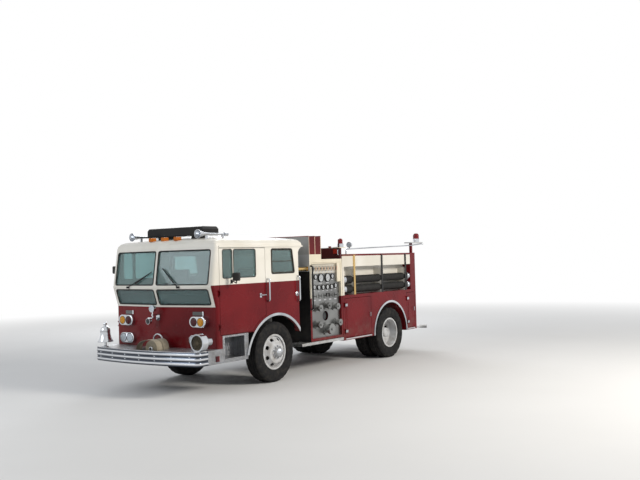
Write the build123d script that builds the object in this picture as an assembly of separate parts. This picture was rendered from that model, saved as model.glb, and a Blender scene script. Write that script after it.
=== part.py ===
from build123d import *
import math
import os

# A cab-forward pumping fire engine. Millimetres, +X to the vehicle's left, -Y forward, +Z up.
# Every place along the vehicle is measured from the windscreen's top corner line and
# ORIGIN_Y moves it back to the middle of the whole length, on the ground.

# Driving dimensions
HALF = 1200.0
FRONT_END = -600.0
REAR_END = 6950.0
ORIGIN_Y = -(FRONT_END + REAR_END) / 2
BELT_Z = 1752.0
GUTTER_Z = 2370.0
SILL_Z = 1400.0
CAB_LOW_Z = 730.0
CAB_BACK = 2160.0
ROOF_BACK = 2285.0
NOSE_VEE = 128.0
CORNER_R = 55.0
WALL = 40.0
GAP = 8.0
FLOOR_Z = 970.0
DECK_Z = 730.0

# Running gear
TYRE_R = 527.0
RIM_R = 290.0
FRONT_AXLE_Y = 1510.0
REAR_AXLE_Y = 5350.0
FRONT_WHEEL_X = 1015.0
REAR_WHEEL_X = 885.0
DISC_OFFSET = 165.0
KINGPIN_X = 865.0
TIE_ROD_BACK = 200.0
PIN_PLAY = 0.08
ARCH_R = 800.0
ARCH_Z = 365.0
REAR_ARCH_R = 640.0
RAIL_X = 432.0
RAIL_TOP = 930.0
RAIL_LOW = 700.0
RAIL_FRONT = -225.0

# Body behind the cab
PUMP_FRONT = 2510.0
PUMP_BACK = 3570.0
PUMP_TOP = 2120.0
BODY_INSET = 10.0
BODY_HALF = HALF - BODY_INSET
BODY_FRONT = 3580.0
BODY_BACK = 6470.0
LOCKER_TOP = 1400.0
LOCKER_LOW = 520.0
TRAY_WIDTH = 190.0
BED_HALF = BODY_HALF - TRAY_WIDTH
BED_TOP = 2170.0
BED_FLOOR = 1440.0

# Front faces of the cab: height, distance of the side corner behind the datum line
NOSE_COLUMNS = ("z", "corner_y")
NOSE = [(CAB_LOW_Z, 0.0), (SILL_Z, 0.0), (1728.0, -100.0), (GUTTER_Z, 0.0)]


def block(x, y, z):
    """A box between three pairs of limits."""
    low = [min(pair) for pair in (x, y, z)]
    high = [max(pair) for pair in (x, y, z)]
    size = [b - a for a, b in zip(low, high)]
    middle = [(a + b) / 2 for a, b in zip(low, high)]
    return Pos(*middle) * Box(*size)


def bar(axis, centre, radius, length):
    """A round bar centred on a point, along x, y or z."""
    turns = {"x": Rot(0, 90, 0), "y": Rot(90, 0, 0), "z": Rot(0, 0, 0)}
    return Pos(*centre) * turns[axis] * Cylinder(radius, length)


def side_face(points, x=0.0):
    """A closed outline in the (y, z) plane."""
    return Plane.YZ.offset(x) * make_face(Polyline(*points, close=True))


def side_plate(points, x0, x1, radius=0.0):
    """An outline in (y, z), with rounded corners if asked, between two values of x."""
    face = make_face(Polyline(*points, close=True))
    if radius:
        face = fillet(face.vertices(), radius)
    return extrude(Plane.YZ.offset(min(x0, x1)) * face, abs(x1 - x0))


def front_plate(points, y0, y1, radius=0.0):
    """An outline in (x, z), with rounded corners if asked, between two values of y."""
    face = make_face(Polyline(*points, close=True))
    if radius:
        face = fillet(face.vertices(), radius)
    return extrude(Plane.XZ.offset(-max(y0, y1)) * face, abs(y1 - y0))


def tube(points, radius, bend=0.0):
    """A bent bar along a chain of points."""
    path = FilletPolyline(*points, radius=bend) if bend else Polyline(*points)
    start = Plane(origin=path @ 0, z_dir=path % 0)
    return sweep(start * Circle(radius), path=path, transition=Transition.RIGHT)


def turned(points, axis_plane=Plane.XY, axis=Axis.X):
    """A solid turned about X from an outline of (along, radius)."""
    return revolve(axis_plane * make_face(Polyline(*points, close=True)), axis, 360)


def mirrored(shape):
    return mirror(shape, about=Plane.YZ)


def both(shape):
    """The shape and its twin on the other side, as one compound of loose solids."""
    return loose(shape, mirrored(shape))


def loose(*shapes):
    """Solids that do not touch, kept together in one node."""
    found = []
    for shape in shapes:
        found += list(shape.solids())
    return Compound(found)


def nose_corner(z):
    """How far back the cab's side corner lies at a height."""
    for (z0, y0), (z1, y1) in zip(NOSE, NOSE[1:]):
        if z <= z1:
            return y0 + (y1 - y0) * (z - z0) / (z1 - z0)
    return NOSE[-1][1]


def nose_y(x, z):
    """The cab's front face at a place across and a height."""
    return nose_corner(z) - NOSE_VEE * (1 - abs(x) / HALF)


def plan(z, corner_y, back_y, inset=0.0, radius=CORNER_R):
    """The cab's outline at one height: a shallow vee in front with rounded corners."""
    half = HALF - inset
    corner_y = corner_y + inset
    back_y = back_y - inset
    slope = math.atan2(NOSE_VEE, HALF)
    reach = radius / math.tan((math.pi / 2 + slope) / 2)
    front = (half - reach * math.cos(slope), corner_y - reach * math.sin(slope))
    side = (half, corner_y + reach)
    centre = (half - radius, corner_y + reach)
    out = (half - centre[0], corner_y - centre[1])
    size = math.hypot(*out)
    middle = (centre[0] + out[0] / size * radius, centre[1] + out[1] / size * radius)
    tip_y = corner_y - NOSE_VEE * half / HALF
    level = lambda point, sign=1: (sign * point[0], point[1], z)
    edges = [
        Line((0, tip_y, z), level(front)),
        ThreePointArc(level(front), level(middle), level(side)),
        Line(level(side), (half, back_y, z)),
        Line((half, back_y, z), (-half, back_y, z)),
        Line((-half, back_y, z), level(side, -1)),
        ThreePointArc(level(side, -1), level(middle, -1), level(front, -1)),
        Line(level(front, -1), (0, tip_y, z)),
    ]
    return make_face(Curve() + edges)


def cab_block(inset=0.0, low=None, high=None):
    """The solid inside the cab's outer faces, moved in by an inset."""
    sections = [(z, y) for z, y in NOSE]
    if low is not None:
        sections = [(low, nose_corner(low))] + [row for row in sections if row[0] > low]
    if high is not None:
        sections = [row for row in sections if row[0] < high] + [(high, nose_corner(high))]
    solid = None
    for (z0, y0), (z1, y1) in zip(sections, sections[1:]):
        piece = loft([plan(z0, y0, CAB_BACK, inset), plan(z1, y1, CAB_BACK, inset)], ruled=True)
        solid = piece if solid is None else solid + piece
    return solid


# Windows: outline in (x, z) for the windscreen, in (y, z) for the sides
UPPER_PANE = [(35, 1768), (1105, 1768), (1105, 2325), (35, 2325)]
LOWER_PANE = [(35, 1440), (1095, 1440), (1095, 1688), (35, 1688)]
VENT_PANE = [(147, 1857), (380, 1857), (380, 2325), (147, 2325)]
DOOR_PANE = [(412, 1857), (970, 1857), (970, 2325), (412, 2325)]
REAR_PANE = [(1394, 1896), (2040, 1896), (1974, 2325), (1394, 2325)]
PANE_CORNER = 40.0
DOOR_FRONT = 62.0
DOOR_BACK = 1225.0
DOOR_LOW = 940.0
DOOR_TOP = 2350.0
DOOR_ARCH_R = ARCH_R + 70


def windscreen_cutters():
    cutters = []
    for outline in (UPPER_PANE, LOWER_PANE):
        cutter = front_plate(outline, -420, 60, PANE_CORNER)
        cutters += [cutter, mirrored(cutter)]
    return cutters


def rear_window_cutters():
    cutter = side_plate(REAR_PANE, HALF - 120, HALF + 60, PANE_CORNER)
    return [cutter, mirrored(cutter)]


def arch_height(radius, y):
    """Height of a circle about the front arch's centre at a place along the vehicle."""
    return ARCH_Z + math.sqrt(radius ** 2 - (FRONT_AXLE_Y - y) ** 2)


def arch_front(radius, z):
    return FRONT_AXLE_Y - math.sqrt(radius ** 2 - (z - ARCH_Z) ** 2)


def door_outline(gap=0.0):
    """The left door's outline in (y, z); its lower rear corner follows the wheel arch."""
    radius = DOOR_ARCH_R + gap
    front, back = DOOR_FRONT + gap, DOOR_BACK - gap
    low, top = DOOR_LOW + gap, DOOR_TOP - gap
    start = (arch_front(radius, low), low)
    end = (back, arch_height(radius, back))
    middle_y = (start[0] + end[0]) / 2
    middle = (middle_y, arch_height(radius, middle_y))
    edges = [
        Line((front, low), start),
        ThreePointArc(start, middle, end),
        Line(end, (back, top)),
        Line((back, top), (front, top)),
        Line((front, top), (front, low)),
    ]
    return make_face(Curve() + edges)


HINGE_OUT = 22.0
HINGE_BACK = 4.0
HINGE_PIN_R = 6.0
CAB_HINGE_Z = (1080.0, 1620.0)
LOCKER_HINGE_Z = (700.0, 1210.0)


def fixed_hinge(face_x, edge_y, z):
    """The body's half of a hinge: two lugs with the pin between them."""
    axis_x, axis_y = face_x + HINGE_OUT, edge_y - HINGE_BACK
    part = bar("z", (axis_x, axis_y, z), HINGE_PIN_R, 90)
    for sign in (1, -1):
        z0, z1 = z + sign * 27, z + sign * 45
        part += block((face_x - 10, axis_x + 12), (edge_y - 26, edge_y - 0.5), (z0, z1))
        part += block((face_x + 6, axis_x + 12), (edge_y - 26, edge_y + 4), (z0, z1))
    return part


def moving_hinge(face_x, edge_y, z):
    """The door's half: a barrel round the pin on a cranked arm."""
    axis_x, axis_y = face_x + HINGE_OUT, edge_y - HINGE_BACK
    part = bar("z", (axis_x, axis_y, z), 12, 50)
    part += block((face_x + 6, axis_x + 4), (axis_y, edge_y + 60), (z - 25, z + 25))
    part += block((face_x - 2, face_x + 12), (edge_y + 16, edge_y + 60), (z - 25, z + 25))
    return part - bar("z", (axis_x, axis_y, z), HINGE_PIN_R + PIN_PLAY, 60)


def door_cutter():
    return extrude(Plane.YZ.offset(HALF - 150) * door_outline(), 300)


# Cab shell

def arch_cutter(radius, x0, x1, low=0.0):
    """A round wheel arch about the front axle, cut flat at the bottom."""
    face = Plane.YZ.offset(x0) * Pos(FRONT_AXLE_Y, ARCH_Z) * Circle(radius)
    return extrude(face, x1 - x0)


def front_zone():
    """The space that belongs to the windscreen frame between sill and belt."""
    outline = [(-500, SILL_Z), (45, SILL_Z), (-55, 1728), (-51, BELT_Z), (-500, BELT_Z)]
    return side_plate(outline, -HALF - 50, HALF + 50)


def cab_body():
    """Red lower shell: nose panel, sides with arches, rear returns; open to the rear."""
    shell = cab_block(0, CAB_LOW_Z, BELT_Z) - cab_block(WALL, CAB_LOW_Z, BELT_Z)
    shell -= front_zone()
    rear_way = block((-HALF + 100, HALF - 100), (CAB_BACK - 200, CAB_BACK + 60), (600, 1900))
    shell -= rear_way
    for sign in (1, -1):
        door = door_cutter() if sign > 0 else mirrored(door_cutter())
        shell -= door
    step_space = block((-HALF - 50, HALF + 50), (110, FRONT_AXLE_Y), (600, DOOR_LOW - 5))
    shell -= step_space
    shell -= arch_cutter(ARCH_R, -HALF - 50, HALF + 50)
    for z in CAB_HINGE_Z:
        hinge = fixed_hinge(HALF, DOOR_FRONT, z)
        shell = shell + hinge + mirrored(hinge)
    return shell


ROOF_SECTIONS_COLUMNS = ("z", "inset")
ROOF_SECTIONS = [(GUTTER_Z, 0.0), (2430.0, 14.0), (2475.0, 50.0), (2500.0, 110.0), (2548.0, 620.0)]


def roof_cap(inset=0.0, drop=0.0):
    """The crowned roof, a stack of outlines that shrink upwards."""
    solid = None
    rows = list(zip(ROOF_SECTIONS, ROOF_SECTIONS[1:]))
    for (z0, in0), (z1, in1) in rows:
        low = plan(max(z0 - drop, GUTTER_Z), 0, ROOF_BACK, in0 + inset, CORNER_R)
        high = plan(z1 - drop, 0, ROOF_BACK, in1 + inset, CORNER_R)
        piece = loft([low, high], ruled=True)
        solid = piece if solid is None else solid + piece
    return solid


def cab_roof():
    """White upper shell: windscreen frame, pillars, side walls and crowned roof."""
    upper = cab_block(0, BELT_Z, GUTTER_Z) - cab_block(WALL, BELT_Z, GUTTER_Z)
    frame = cab_block(0, SILL_Z, BELT_Z) - cab_block(WALL, SILL_Z, BELT_Z)
    frame = frame & front_zone()
    rear_way = block((-HALF + 100, HALF - 100), (CAB_BACK - 200, CAB_BACK + 60), (1500, 2310))
    upper -= rear_way
    cap = roof_cap() - roof_cap(WALL, 30)
    shell = upper + frame + cap
    for sign in (1, -1):
        x0, x1 = sign * (HALF - WALL), sign * HALF
        gusset = side_plate([(CAB_BACK - 5, 2250), (CAB_BACK + 30, 2315), (ROOF_BACK, GUTTER_Z + 5),
                             (CAB_BACK - 5, GUTTER_Z + 5)], x0, x1)
        gutter = block((sign * (HALF - 2), sign * (HALF + 16)), (DOOR_FRONT, ROOF_BACK), (2360, 2382))
        shell = shell + gusset + gutter
    for cutter in windscreen_cutters() + rear_window_cutters():
        shell -= cutter
    shell -= door_cutter()
    shell -= mirrored(door_cutter())
    return shell


def cab_glass():
    """Windscreen and rear side panes, each filling its opening in the wall."""
    skin = cab_block(14, SILL_Z, GUTTER_Z) - cab_block(20, SILL_Z, GUTTER_Z)
    panes = []
    for cutter in windscreen_cutters() + rear_window_cutters():
        panes += list((skin & cutter).solids())
    return loose(*panes)


# Doors

def door_pane_cutters():
    return [side_plate(outline, HALF - 120, HALF + 60, PANE_CORNER) for outline in (VENT_PANE, DOOR_PANE)]


def door():
    """The left door: a panel as thick as the wall with both windows cut."""
    panel = extrude(Plane.YZ.offset(HALF - WALL) * door_outline(GAP), WALL)
    for cutter in door_pane_cutters():
        panel -= cutter
    for z in CAB_HINGE_Z:
        panel += moving_hinge(HALF, DOOR_FRONT, z)
    return panel


def door_glass():
    panes = []
    for cutter in door_pane_cutters():
        panes.append(cutter & block((HALF - 20, HALF - 14), (0, 1300), (1800, 2400)))
    return loose(*panes)


MIRROR_OUT = 160.0
MIRROR_SIZE = (130.0, 40.0, 135.0)
MIRROR_FOOT_Y, MIRROR_FOOT_Z = 355.0, 1800.0
MIRROR_COLUMNS = ("y", "z")
MIRRORS = {"left": (300.0, 1878.0), "right": (120.0, 2030.0)}


def door_fittings(side):
    """Mirror on its short arm, and the outside handle; the two sides' arms differ."""
    y, z = MIRRORS[side]
    x = HALF + MIRROR_OUT
    low = z - MIRROR_SIZE[2] / 2
    head = Pos(x, y, z) * Box(*MIRROR_SIZE)
    head = fillet(head.edges().filter_by(Axis.Y), 25)
    bend_z = min(low - 40, MIRROR_FOOT_Z + 60)
    loop = tube([(HALF + 2, MIRROR_FOOT_Y, MIRROR_FOOT_Z), (HALF + 50, MIRROR_FOOT_Y, MIRROR_FOOT_Z),
                 (x, y, bend_z), (x, y, low + 8)], 9, 18)
    foot_y = (MIRROR_FOOT_Y - 24, MIRROR_FOOT_Y + 24)
    feet = block((HALF, HALF + 10), foot_y, (MIRROR_FOOT_Z - 32, MIRROR_FOOT_Z + 32))
    grip = tube([(HALF, 1080, 1540), (HALF + 42, 1080, 1540), (HALF + 42, 1190, 1540)], 9, 20)
    plate = block((HALF, HALF + 6), (1060, 1110), (1500, 1570))
    return loose(loop + head + feet, grip + plate)


# Cab inside

WELL_FRONT = 700.0
WELL_IN = 570.0
WELL_TOP = 1225.0
BULKHEAD_Y = 1245.0


def cab_tub():
    """Floor, wheel housings, seat boxes and the bulkhead behind the front seats."""
    inner = HALF - WALL
    floor = block((-inner, inner), (-140, WELL_FRONT + 10), (FLOOR_Z - 25, FLOOR_Z))
    floor -= block((-340, 340), (COVER_FRONT + 20, 2200), (900, 1000))
    nose_room = cab_block(WALL, CAB_LOW_Z, BELT_Z)
    floor = floor & nose_room
    parts = floor
    for sign in (1, -1):
        top = block((sign * WELL_IN, sign * inner), (WELL_FRONT, CAB_BACK - WALL), (WELL_TOP - 12, WELL_TOP))
        front = block((sign * WELL_IN, sign * inner), (WELL_FRONT, WELL_FRONT + 12), (FLOOR_Z - 25, WELL_TOP))
        side = block((sign * WELL_IN, sign * (WELL_IN + 12)), (WELL_FRONT, CAB_BACK - WALL), (FLOOR_Z - 60, WELL_TOP))
        front += block((sign * 340, sign * (WELL_IN + 12)), (WELL_FRONT, CAB_BACK - WALL), (RAIL_TOP, FLOOR_Z))
        seat_box = block((sign * 600, sign * 1080), (WELL_FRONT + 20, BULKHEAD_Y - 100), (WELL_TOP - 2, 1325))
        jump_box = block((sign * 600, sign * 1080), (BULKHEAD_Y + 60, 1760), (WELL_TOP - 2, 1380))
        parts = parts + top + front + side + seat_box + jump_box
    wall = block((-inner, inner), (BULKHEAD_Y, BULKHEAD_Y + 30), (WELL_TOP - 2, 2330))
    for sign in (1, -1):
        opening = [(sign * 430, 1880), (sign * 1060, 1880), (sign * 1060, 2240), (sign * 430, 2240)]
        wall -= front_plate(opening, BULKHEAD_Y - 50, BULKHEAD_Y + 80, 40)
    wall -= front_plate(COVER_OUTLINE, COVER_FRONT, COVER_BACK)
    tub = parts + wall
    for sign in (1, -1):
        tub -= block((sign * (inner - 8), sign * HALF), (DOOR_FRONT - 8, DOOR_BACK + 8), (900, 2400))
    return tub


COVER_FRONT, COVER_BACK = 320.0, 2120.0
COVER_OUTLINE = [(-345, FLOOR_Z), (345, FLOOR_Z), (345, 1460), (300, 1530), (-300, 1530), (-345, 1460)]


def engine_cover():
    """The raised cover between the seats, open below."""
    inner = [(-320, FLOOR_Z - 40), (320, FLOOR_Z - 40), (320, 1450), (285, 1505), (-285, 1505), (-320, 1450)]
    cover = front_plate(COVER_OUTLINE, COVER_FRONT, COVER_BACK)
    return cover - front_plate(inner, COVER_FRONT + 25, COVER_BACK - 25)


def dashboard():
    """Dash panel across the front with the steering column and wheel."""
    outline = [(-40, 1400), (250, 1400), (300, 1440), (300, 1560), (230, 1600), (60, 1600)]
    inner = HALF - WALL - 1
    dash = side_plate(outline, -inner, inner)
    dash = dash & cab_block(WALL + 1, 1300, BELT_Z)
    hood = side_plate([(120, 1590), (280, 1590), (300, 1650), (160, 1690)], 500, 800)
    dash = dash + hood
    column = tube([(650, 158, FLOOR_Z + 15.5), (650, 483, 1609)], 32)
    tilt = Pos(650, 490, 1622) * Rot(-27, 0, 0)
    wheel = tilt * Torus(225, 14)
    wheel += tilt * Cylinder(45, 40)
    for turn in (0, 120, 240):
        wheel += tilt * Rot(0, 0, turn) * Pos(0, 115, 0) * Box(24, 215, 12)
    return dash + column + wheel


def cab_seats():
    """Two front seats and two rear-facing seats, plain soft solids."""
    clear = 0.3
    parts = []
    for sign in (1, -1):
        x = (sign * 590, sign * 1090)
        parts.append(block(x, (WELL_FRONT - 10, BULKHEAD_Y - 110), (1325 + clear, 1445)))
        parts.append(side_plate([(BULKHEAD_Y - 180, 1446), (BULKHEAD_Y - 60, 1446), (BULKHEAD_Y - clear, 2010),
                                 (BULKHEAD_Y - 80, 2010)], x[0], x[1]))
        parts.append(block(x, (BULKHEAD_Y + 100, 1780), (1380 + clear, 1480)))
        parts.append(block(x, (BULKHEAD_Y + 30 + clear, BULKHEAD_Y + 95), (1481, 1860)))
    return loose(*parts)


# Chassis

RAIL_SIDE = [(RAIL_FRONT, 560), (300, 560), (700, RAIL_LOW), (6440, RAIL_LOW), (6440, RAIL_TOP), (660, RAIL_TOP),
             (250, 720), (RAIL_FRONT, 720)]
CROSS_COLUMNS = ("y", "z")
CROSS_MEMBERS = [(-150.0, 640.0), (2300.0, 892.0), (3640.0, 892.0), (4560.0, 892.0), (6250.0, 892.0)]


def frame_rails():
    """Two channel-section side members and their cross members, in one piece."""
    outer = side_plate(RAIL_SIDE, RAIL_X - 80, RAIL_X)
    inner_points = [(RAIL_FRONT - 10, 570), (296, 570), (696, RAIL_LOW + 10), (6450, RAIL_LOW + 10), (6450, RAIL_TOP - 10),
                    (664, RAIL_TOP - 10), (254, 710), (RAIL_FRONT - 10, 710)]
    rail = outer - side_plate(inner_points, RAIL_X - 90, RAIL_X - 10)
    parts = rail + mirrored(rail)
    for y, z in CROSS_MEMBERS:
        parts = parts + block((-RAIL_X + 8, RAIL_X - 8), (y - 40, y + 40), (z - 33, z + 33))
    for sign in (1, -1):
        for y in (REAR_AXLE_Y - 700, REAR_AXLE_Y + 700):
            parts += block((sign * (RAIL_X - 2), sign * 535), (y - 35, y + 35), (770, 860))
        for y in (FRONT_AXLE_Y - 700, FRONT_AXLE_Y + 700):
            parts += block((sign * 355, sign * RAIL_X), (y - 30, y + 30), (655, RAIL_LOW + 2))
    return parts


def front_axle_beam():
    """Dropped beam with an upright eye at each end for the kingpin."""
    outline = [(-KINGPIN_X, 480), (-620, 385), (620, 385), (KINGPIN_X, 480), (KINGPIN_X, 574), (600, 485),
               (-600, 485), (-KINGPIN_X, 574)]
    beam = front_plate(outline, FRONT_AXLE_Y - 45, FRONT_AXLE_Y + 45)
    for sign in (1, -1):
        beam += bar("z", (sign * KINGPIN_X, FRONT_AXLE_Y, TYRE_R), 50, 134)
    for sign in (1, -1):
        beam -= bar("z", (sign * KINGPIN_X, FRONT_AXLE_Y, TYRE_R), 22 + PIN_PLAY, 400)
    return beam


def spring_pack(x0, x1, axle_y, seat_z, rise, reach, thick):
    """A leaf spring: deep at its seat and thin at its eyes."""
    low = ThreePointArc((axle_y - reach, seat_z + rise), (axle_y, seat_z), (axle_y + reach, seat_z + rise))
    high = ThreePointArc((axle_y + reach, seat_z + rise + 18), (axle_y, seat_z + thick),
                         (axle_y - reach, seat_z + rise + 18))
    ends = [Line((axle_y + reach, seat_z + rise), (axle_y + reach, seat_z + rise + 18)),
            Line((axle_y - reach, seat_z + rise + 18), (axle_y - reach, seat_z + rise))]
    face = make_face(Curve() + [low, ends[0], high, ends[1]])
    return extrude(Plane.YZ.offset(min(x0, x1)) * face, abs(x1 - x0))


def leaf_springs():
    parts = []
    for sign in (1, -1):
        front = spring_pack(sign * 355, sign * 430, FRONT_AXLE_Y, 485, 152, 720, 62)
        rear = spring_pack(sign * 455, sign * 535, REAR_AXLE_Y, 602, 150, 720, 80)
        parts += [front, rear]
    return loose(*parts)


def rear_axle_housing():
    """Axle tube with its bowl, spring seats, brake drums and spindles."""
    centre = (0, REAR_AXLE_Y, TYRE_R)
    axle = bar("x", centre, 68, 1240)
    axle += bar("x", centre, 60, 1900) - bar("x", centre, 60, 1200)
    bowl = turned([(-170, 0), (-170, 90), (-70, 205), (70, 205), (170, 90), (170, 0)])
    axle += Pos(*centre) * bowl
    axle += bar("y", (0, REAR_AXLE_Y - 190, TYRE_R + 20), 75, 200)
    for sign in (1, -1):
        axle += block((sign * 450, sign * 540), (REAR_AXLE_Y - 90, REAR_AXLE_Y + 90), (540, 602))
        axle += bar("x", (sign * 715, REAR_AXLE_Y, TYRE_R), 205, 220)
    return axle


SUCTION_STUB_Z = 1045.0


def powertrain():
    """Engine, gearbox, shafts and the pump amidships, as plain masses."""
    engine = block((-300, 300), (380, 1480), (740, 1380))
    sump = block((-200, 200), (420, 1300), (640, 745))
    gearbox = block((-210, 210), (1475, 2150), (700, 960))
    pump = block((-330, 330), (2760, 3320), (660, 1120)) + bar("x", (0, 3040, SUCTION_STUB_Z), 90, 2 * (BODY_HALF - 90))
    shafts = bar("y", (0, 2450, 800), 45, 640) + tube([(0, 3300, 790), (0, REAR_AXLE_Y - 297, 549)], 45)
    return engine + sump + gearbox + shafts + pump


def exhaust_system():
    """Pipe and silencer under the right side."""
    pipe = tube([(-250, 1400, 740), (-250, 1400, 645), (-510, 1400, 645), (-510, 2200, 645), (-540, 2460, 480)], 38, 46)
    silencer = bar("y", (-540, 2900, 480), 100, 900)
    tail = tube([(-540, 3340, 480), (-540, 4300, 480), (-1150, 4500, 460)], 38, 70)
    return pipe + silencer + tail


def tanks():
    """Fuel tank between the side members and the plain water tank under the hose bed."""
    fuel = block((-RAIL_X + 80, RAIL_X - 80), (5700, 6180), (600, 905))
    fuel = fillet(fuel.edges().filter_by(Axis.X), 60)
    water = block((-560, 560), (3700, 6400), (RAIL_TOP + 0.5, LOCKER_TOP - 0.5))
    return loose(fuel, water)


def knuckle():
    """Left steering knuckle: forked yoke, kingpin, brake drum, spindle and arm."""
    x, y = KINGPIN_X, FRONT_AXLE_Y
    yoke = block((x + 55, x + 80), (y - 70, y + 70), (412, 642))
    yoke += block((x - 45, x + 60), (y - 45, y + 45), (600, 642))
    yoke += block((x - 45, x + 60), (y - 45, y + 45), (412, 454))
    yoke += bar("z", (x, y, TYRE_R), 22, 200)
    yoke += bar("x", (x + 150, y, TYRE_R), 205, 150)
    yoke += bar("x", (x + 190, y, TYRE_R), 25, 240)
    arm = block((x - 20, x + 20), (y + 30, y + TIE_ROD_BACK + 24), (414, 440))
    arm -= bar("z", (x, y + TIE_ROD_BACK, 430), 10 + PIN_PLAY, 100)
    return yoke + arm


def tie_rod():
    """Cross rod behind the axle with an upright stud at each end."""
    y, z = FRONT_AXLE_Y + TIE_ROD_BACK, 388.0
    rod = bar("x", (0, y, z), 17, 2 * KINGPIN_X)
    for sign in (1, -1):
        rod += bar("z", (sign * KINGPIN_X, y, z), 25, 40)
        rod += bar("z", (sign * KINGPIN_X, y, 415), 10, 56)
    return rod


# Wheels, turned about the axle line with x = 0 at the tyre's middle

def tyre():
    half = [Line((-100, RIM_R), (-100, 313)),
            ThreePointArc((-100, 313), (-139.5, 410), (-116, 508)),
            Line((-116, 508), (-104, 524)),
            ThreePointArc((-104, 524), (0, TYRE_R), (104, 524)),
            Line((104, 524), (116, 508)),
            ThreePointArc((116, 508), (139.5, 410), (100, 313)),
            Line((100, 313), (100, RIM_R)),
            Line((100, RIM_R), (-100, RIM_R))]
    return revolve(make_face(Curve() + half), Axis.X, 360)


HAND_HOLES = 8


def disc_wheel(hub_points=None, bore=0.0):
    """A steel disc wheel whose face stands out to +x by its offset."""
    barrel = turned([(-112, 278), (-112, 308), (-100, 308), (-100, RIM_R), (100, RIM_R), (100, 308), (112, 308),
                     (112, 278)])
    disc = turned([(60, 279), (72, 262), (DISC_OFFSET - 16, 186), (DISC_OFFSET - 12, 150), (DISC_OFFSET - 12, 40),
                   (DISC_OFFSET, 40), (DISC_OFFSET, 156), (DISC_OFFSET - 4, 190), (86, 266), (78, 279)])
    cutters = Plane.YZ * SlotOverall(74, 46)
    hole = extrude(cutters, 200)
    for index in range(HAND_HOLES):
        angle = 360 / HAND_HOLES * (index + 0.5)
        disc -= Rot(angle, 0, 0) * Pos(0, 0, 226) * hole
    wheel = barrel + disc
    if hub_points:
        wheel += turned(hub_points)
    if bore:
        wheel -= bar("x", (0, 0, 0), bore, 2 * (DISC_OFFSET + 20))
    return wheel


FRONT_HUB = [(95, 0), (95, 62), (140, 62), (150, 120), (DISC_OFFSET + 8, 120), (DISC_OFFSET + 14, 92),
             (215, 88), (228, 78), (228, 0)]


def rim_front():
    return disc_wheel(FRONT_HUB, 25 + PIN_PLAY)


def rims_rear():
    """Two back-to-back discs and their hub, about the middle of the pair."""
    inner = Pos(-DISC_OFFSET, 0, 0) * disc_wheel()
    outer = Pos(DISC_OFFSET, 0, 0) * Rot(0, 0, 180) * disc_wheel()
    hub = turned([(-12, 0), (-12, 130), (16, 130), (16, 100), (175, 100), (190, 84), (190, 0)])
    pair = inner + outer + hub
    return pair - bar("x", (0, 0, 0), 60 + PIN_PLAY, 150)


def tyres_rear():
    return loose(Pos(-DISC_OFFSET, 0, 0) * tyre(), Pos(DISC_OFFSET, 0, 0) * tyre())


# Front end

BUMPER_LOW, BUMPER_TOP = 500.0, 720.0
BUMPER_SAG = 110.0
BUMPER_END_X = HALF - 50.0
BUMPER_R = (BUMPER_END_X ** 2 + BUMPER_SAG ** 2) / (2 * BUMPER_SAG)
BUMPER_ANGLE = math.degrees(math.asin(BUMPER_END_X / BUMPER_R))
BUMPER_END_R = 90.0


def bumper_profile(radius):
    """Section of the bumper at a distance from its turning axis, with three rolled ridges."""
    ridge = (BUMPER_TOP - BUMPER_LOW) / 3
    inside = radius - 40
    edges = [Line((inside, BUMPER_LOW), (radius - 12, BUMPER_LOW))]
    for index in range(3):
        low = BUMPER_LOW + ridge * index
        edges.append(ThreePointArc((radius - 12, low), (radius, low + ridge / 2), (radius - 12, low + ridge)))
    edges.append(Line((radius - 12, BUMPER_TOP), (inside, BUMPER_TOP)))
    edges.append(Line((inside, BUMPER_TOP), (inside, BUMPER_LOW)))
    return make_face(Curve() + edges)


def front_bumper():
    """Curved three-ridge bumper with rounded ends that run back to the cab skirt."""
    middle_y = FRONT_END + BUMPER_R
    section = Plane.XZ * bumper_profile(BUMPER_R)
    arc = revolve(section, Axis.Z, 2 * BUMPER_ANGLE)
    bumper = Pos(0, middle_y, 0) * Rot(0, 0, -90 - BUMPER_ANGLE) * arc
    turn = 90 - BUMPER_ANGLE
    reach = BUMPER_R - BUMPER_END_R
    for sign in (1, -1):
        cx = sign * reach * math.sin(math.radians(BUMPER_ANGLE))
        cy = middle_y - reach * math.cos(math.radians(BUMPER_ANGLE))
        corner = revolve(Plane.XZ * bumper_profile(BUMPER_END_R), Axis.Z, turn)
        start = -90 + BUMPER_ANGLE if sign > 0 else 180
        bumper += Pos(cx, cy, 0) * Rot(0, 0, start) * corner
        tail = extrude(Plane.XZ * bumper_profile(BUMPER_END_R), -(-250 - cy))
        tail = Pos(cx, cy, 0) * (tail if sign > 0 else mirrored(tail))
        bumper += tail
    for sign in (1, -1):
        bumper += block((sign * RAIL_X, sign * (RAIL_X + 14)), (FRONT_END + 30, RAIL_FRONT + 110), (575, 700))
    return bumper


HOSE_WELL = ((-190, 375), (-538, RAIL_FRONT - 20), (610, DECK_Z))
DECK_BACK = -20.0
DECK_HALF = HALF - 14.0
HOOP_X, HOOP_Y, HOOP_TOP = 40.0, -200.0, 970.0
HOOP_R, HOOP_BAR = 105.0, 14.0
TRAY_WALL = 5.0
DECK_SEAM = 0.5


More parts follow.
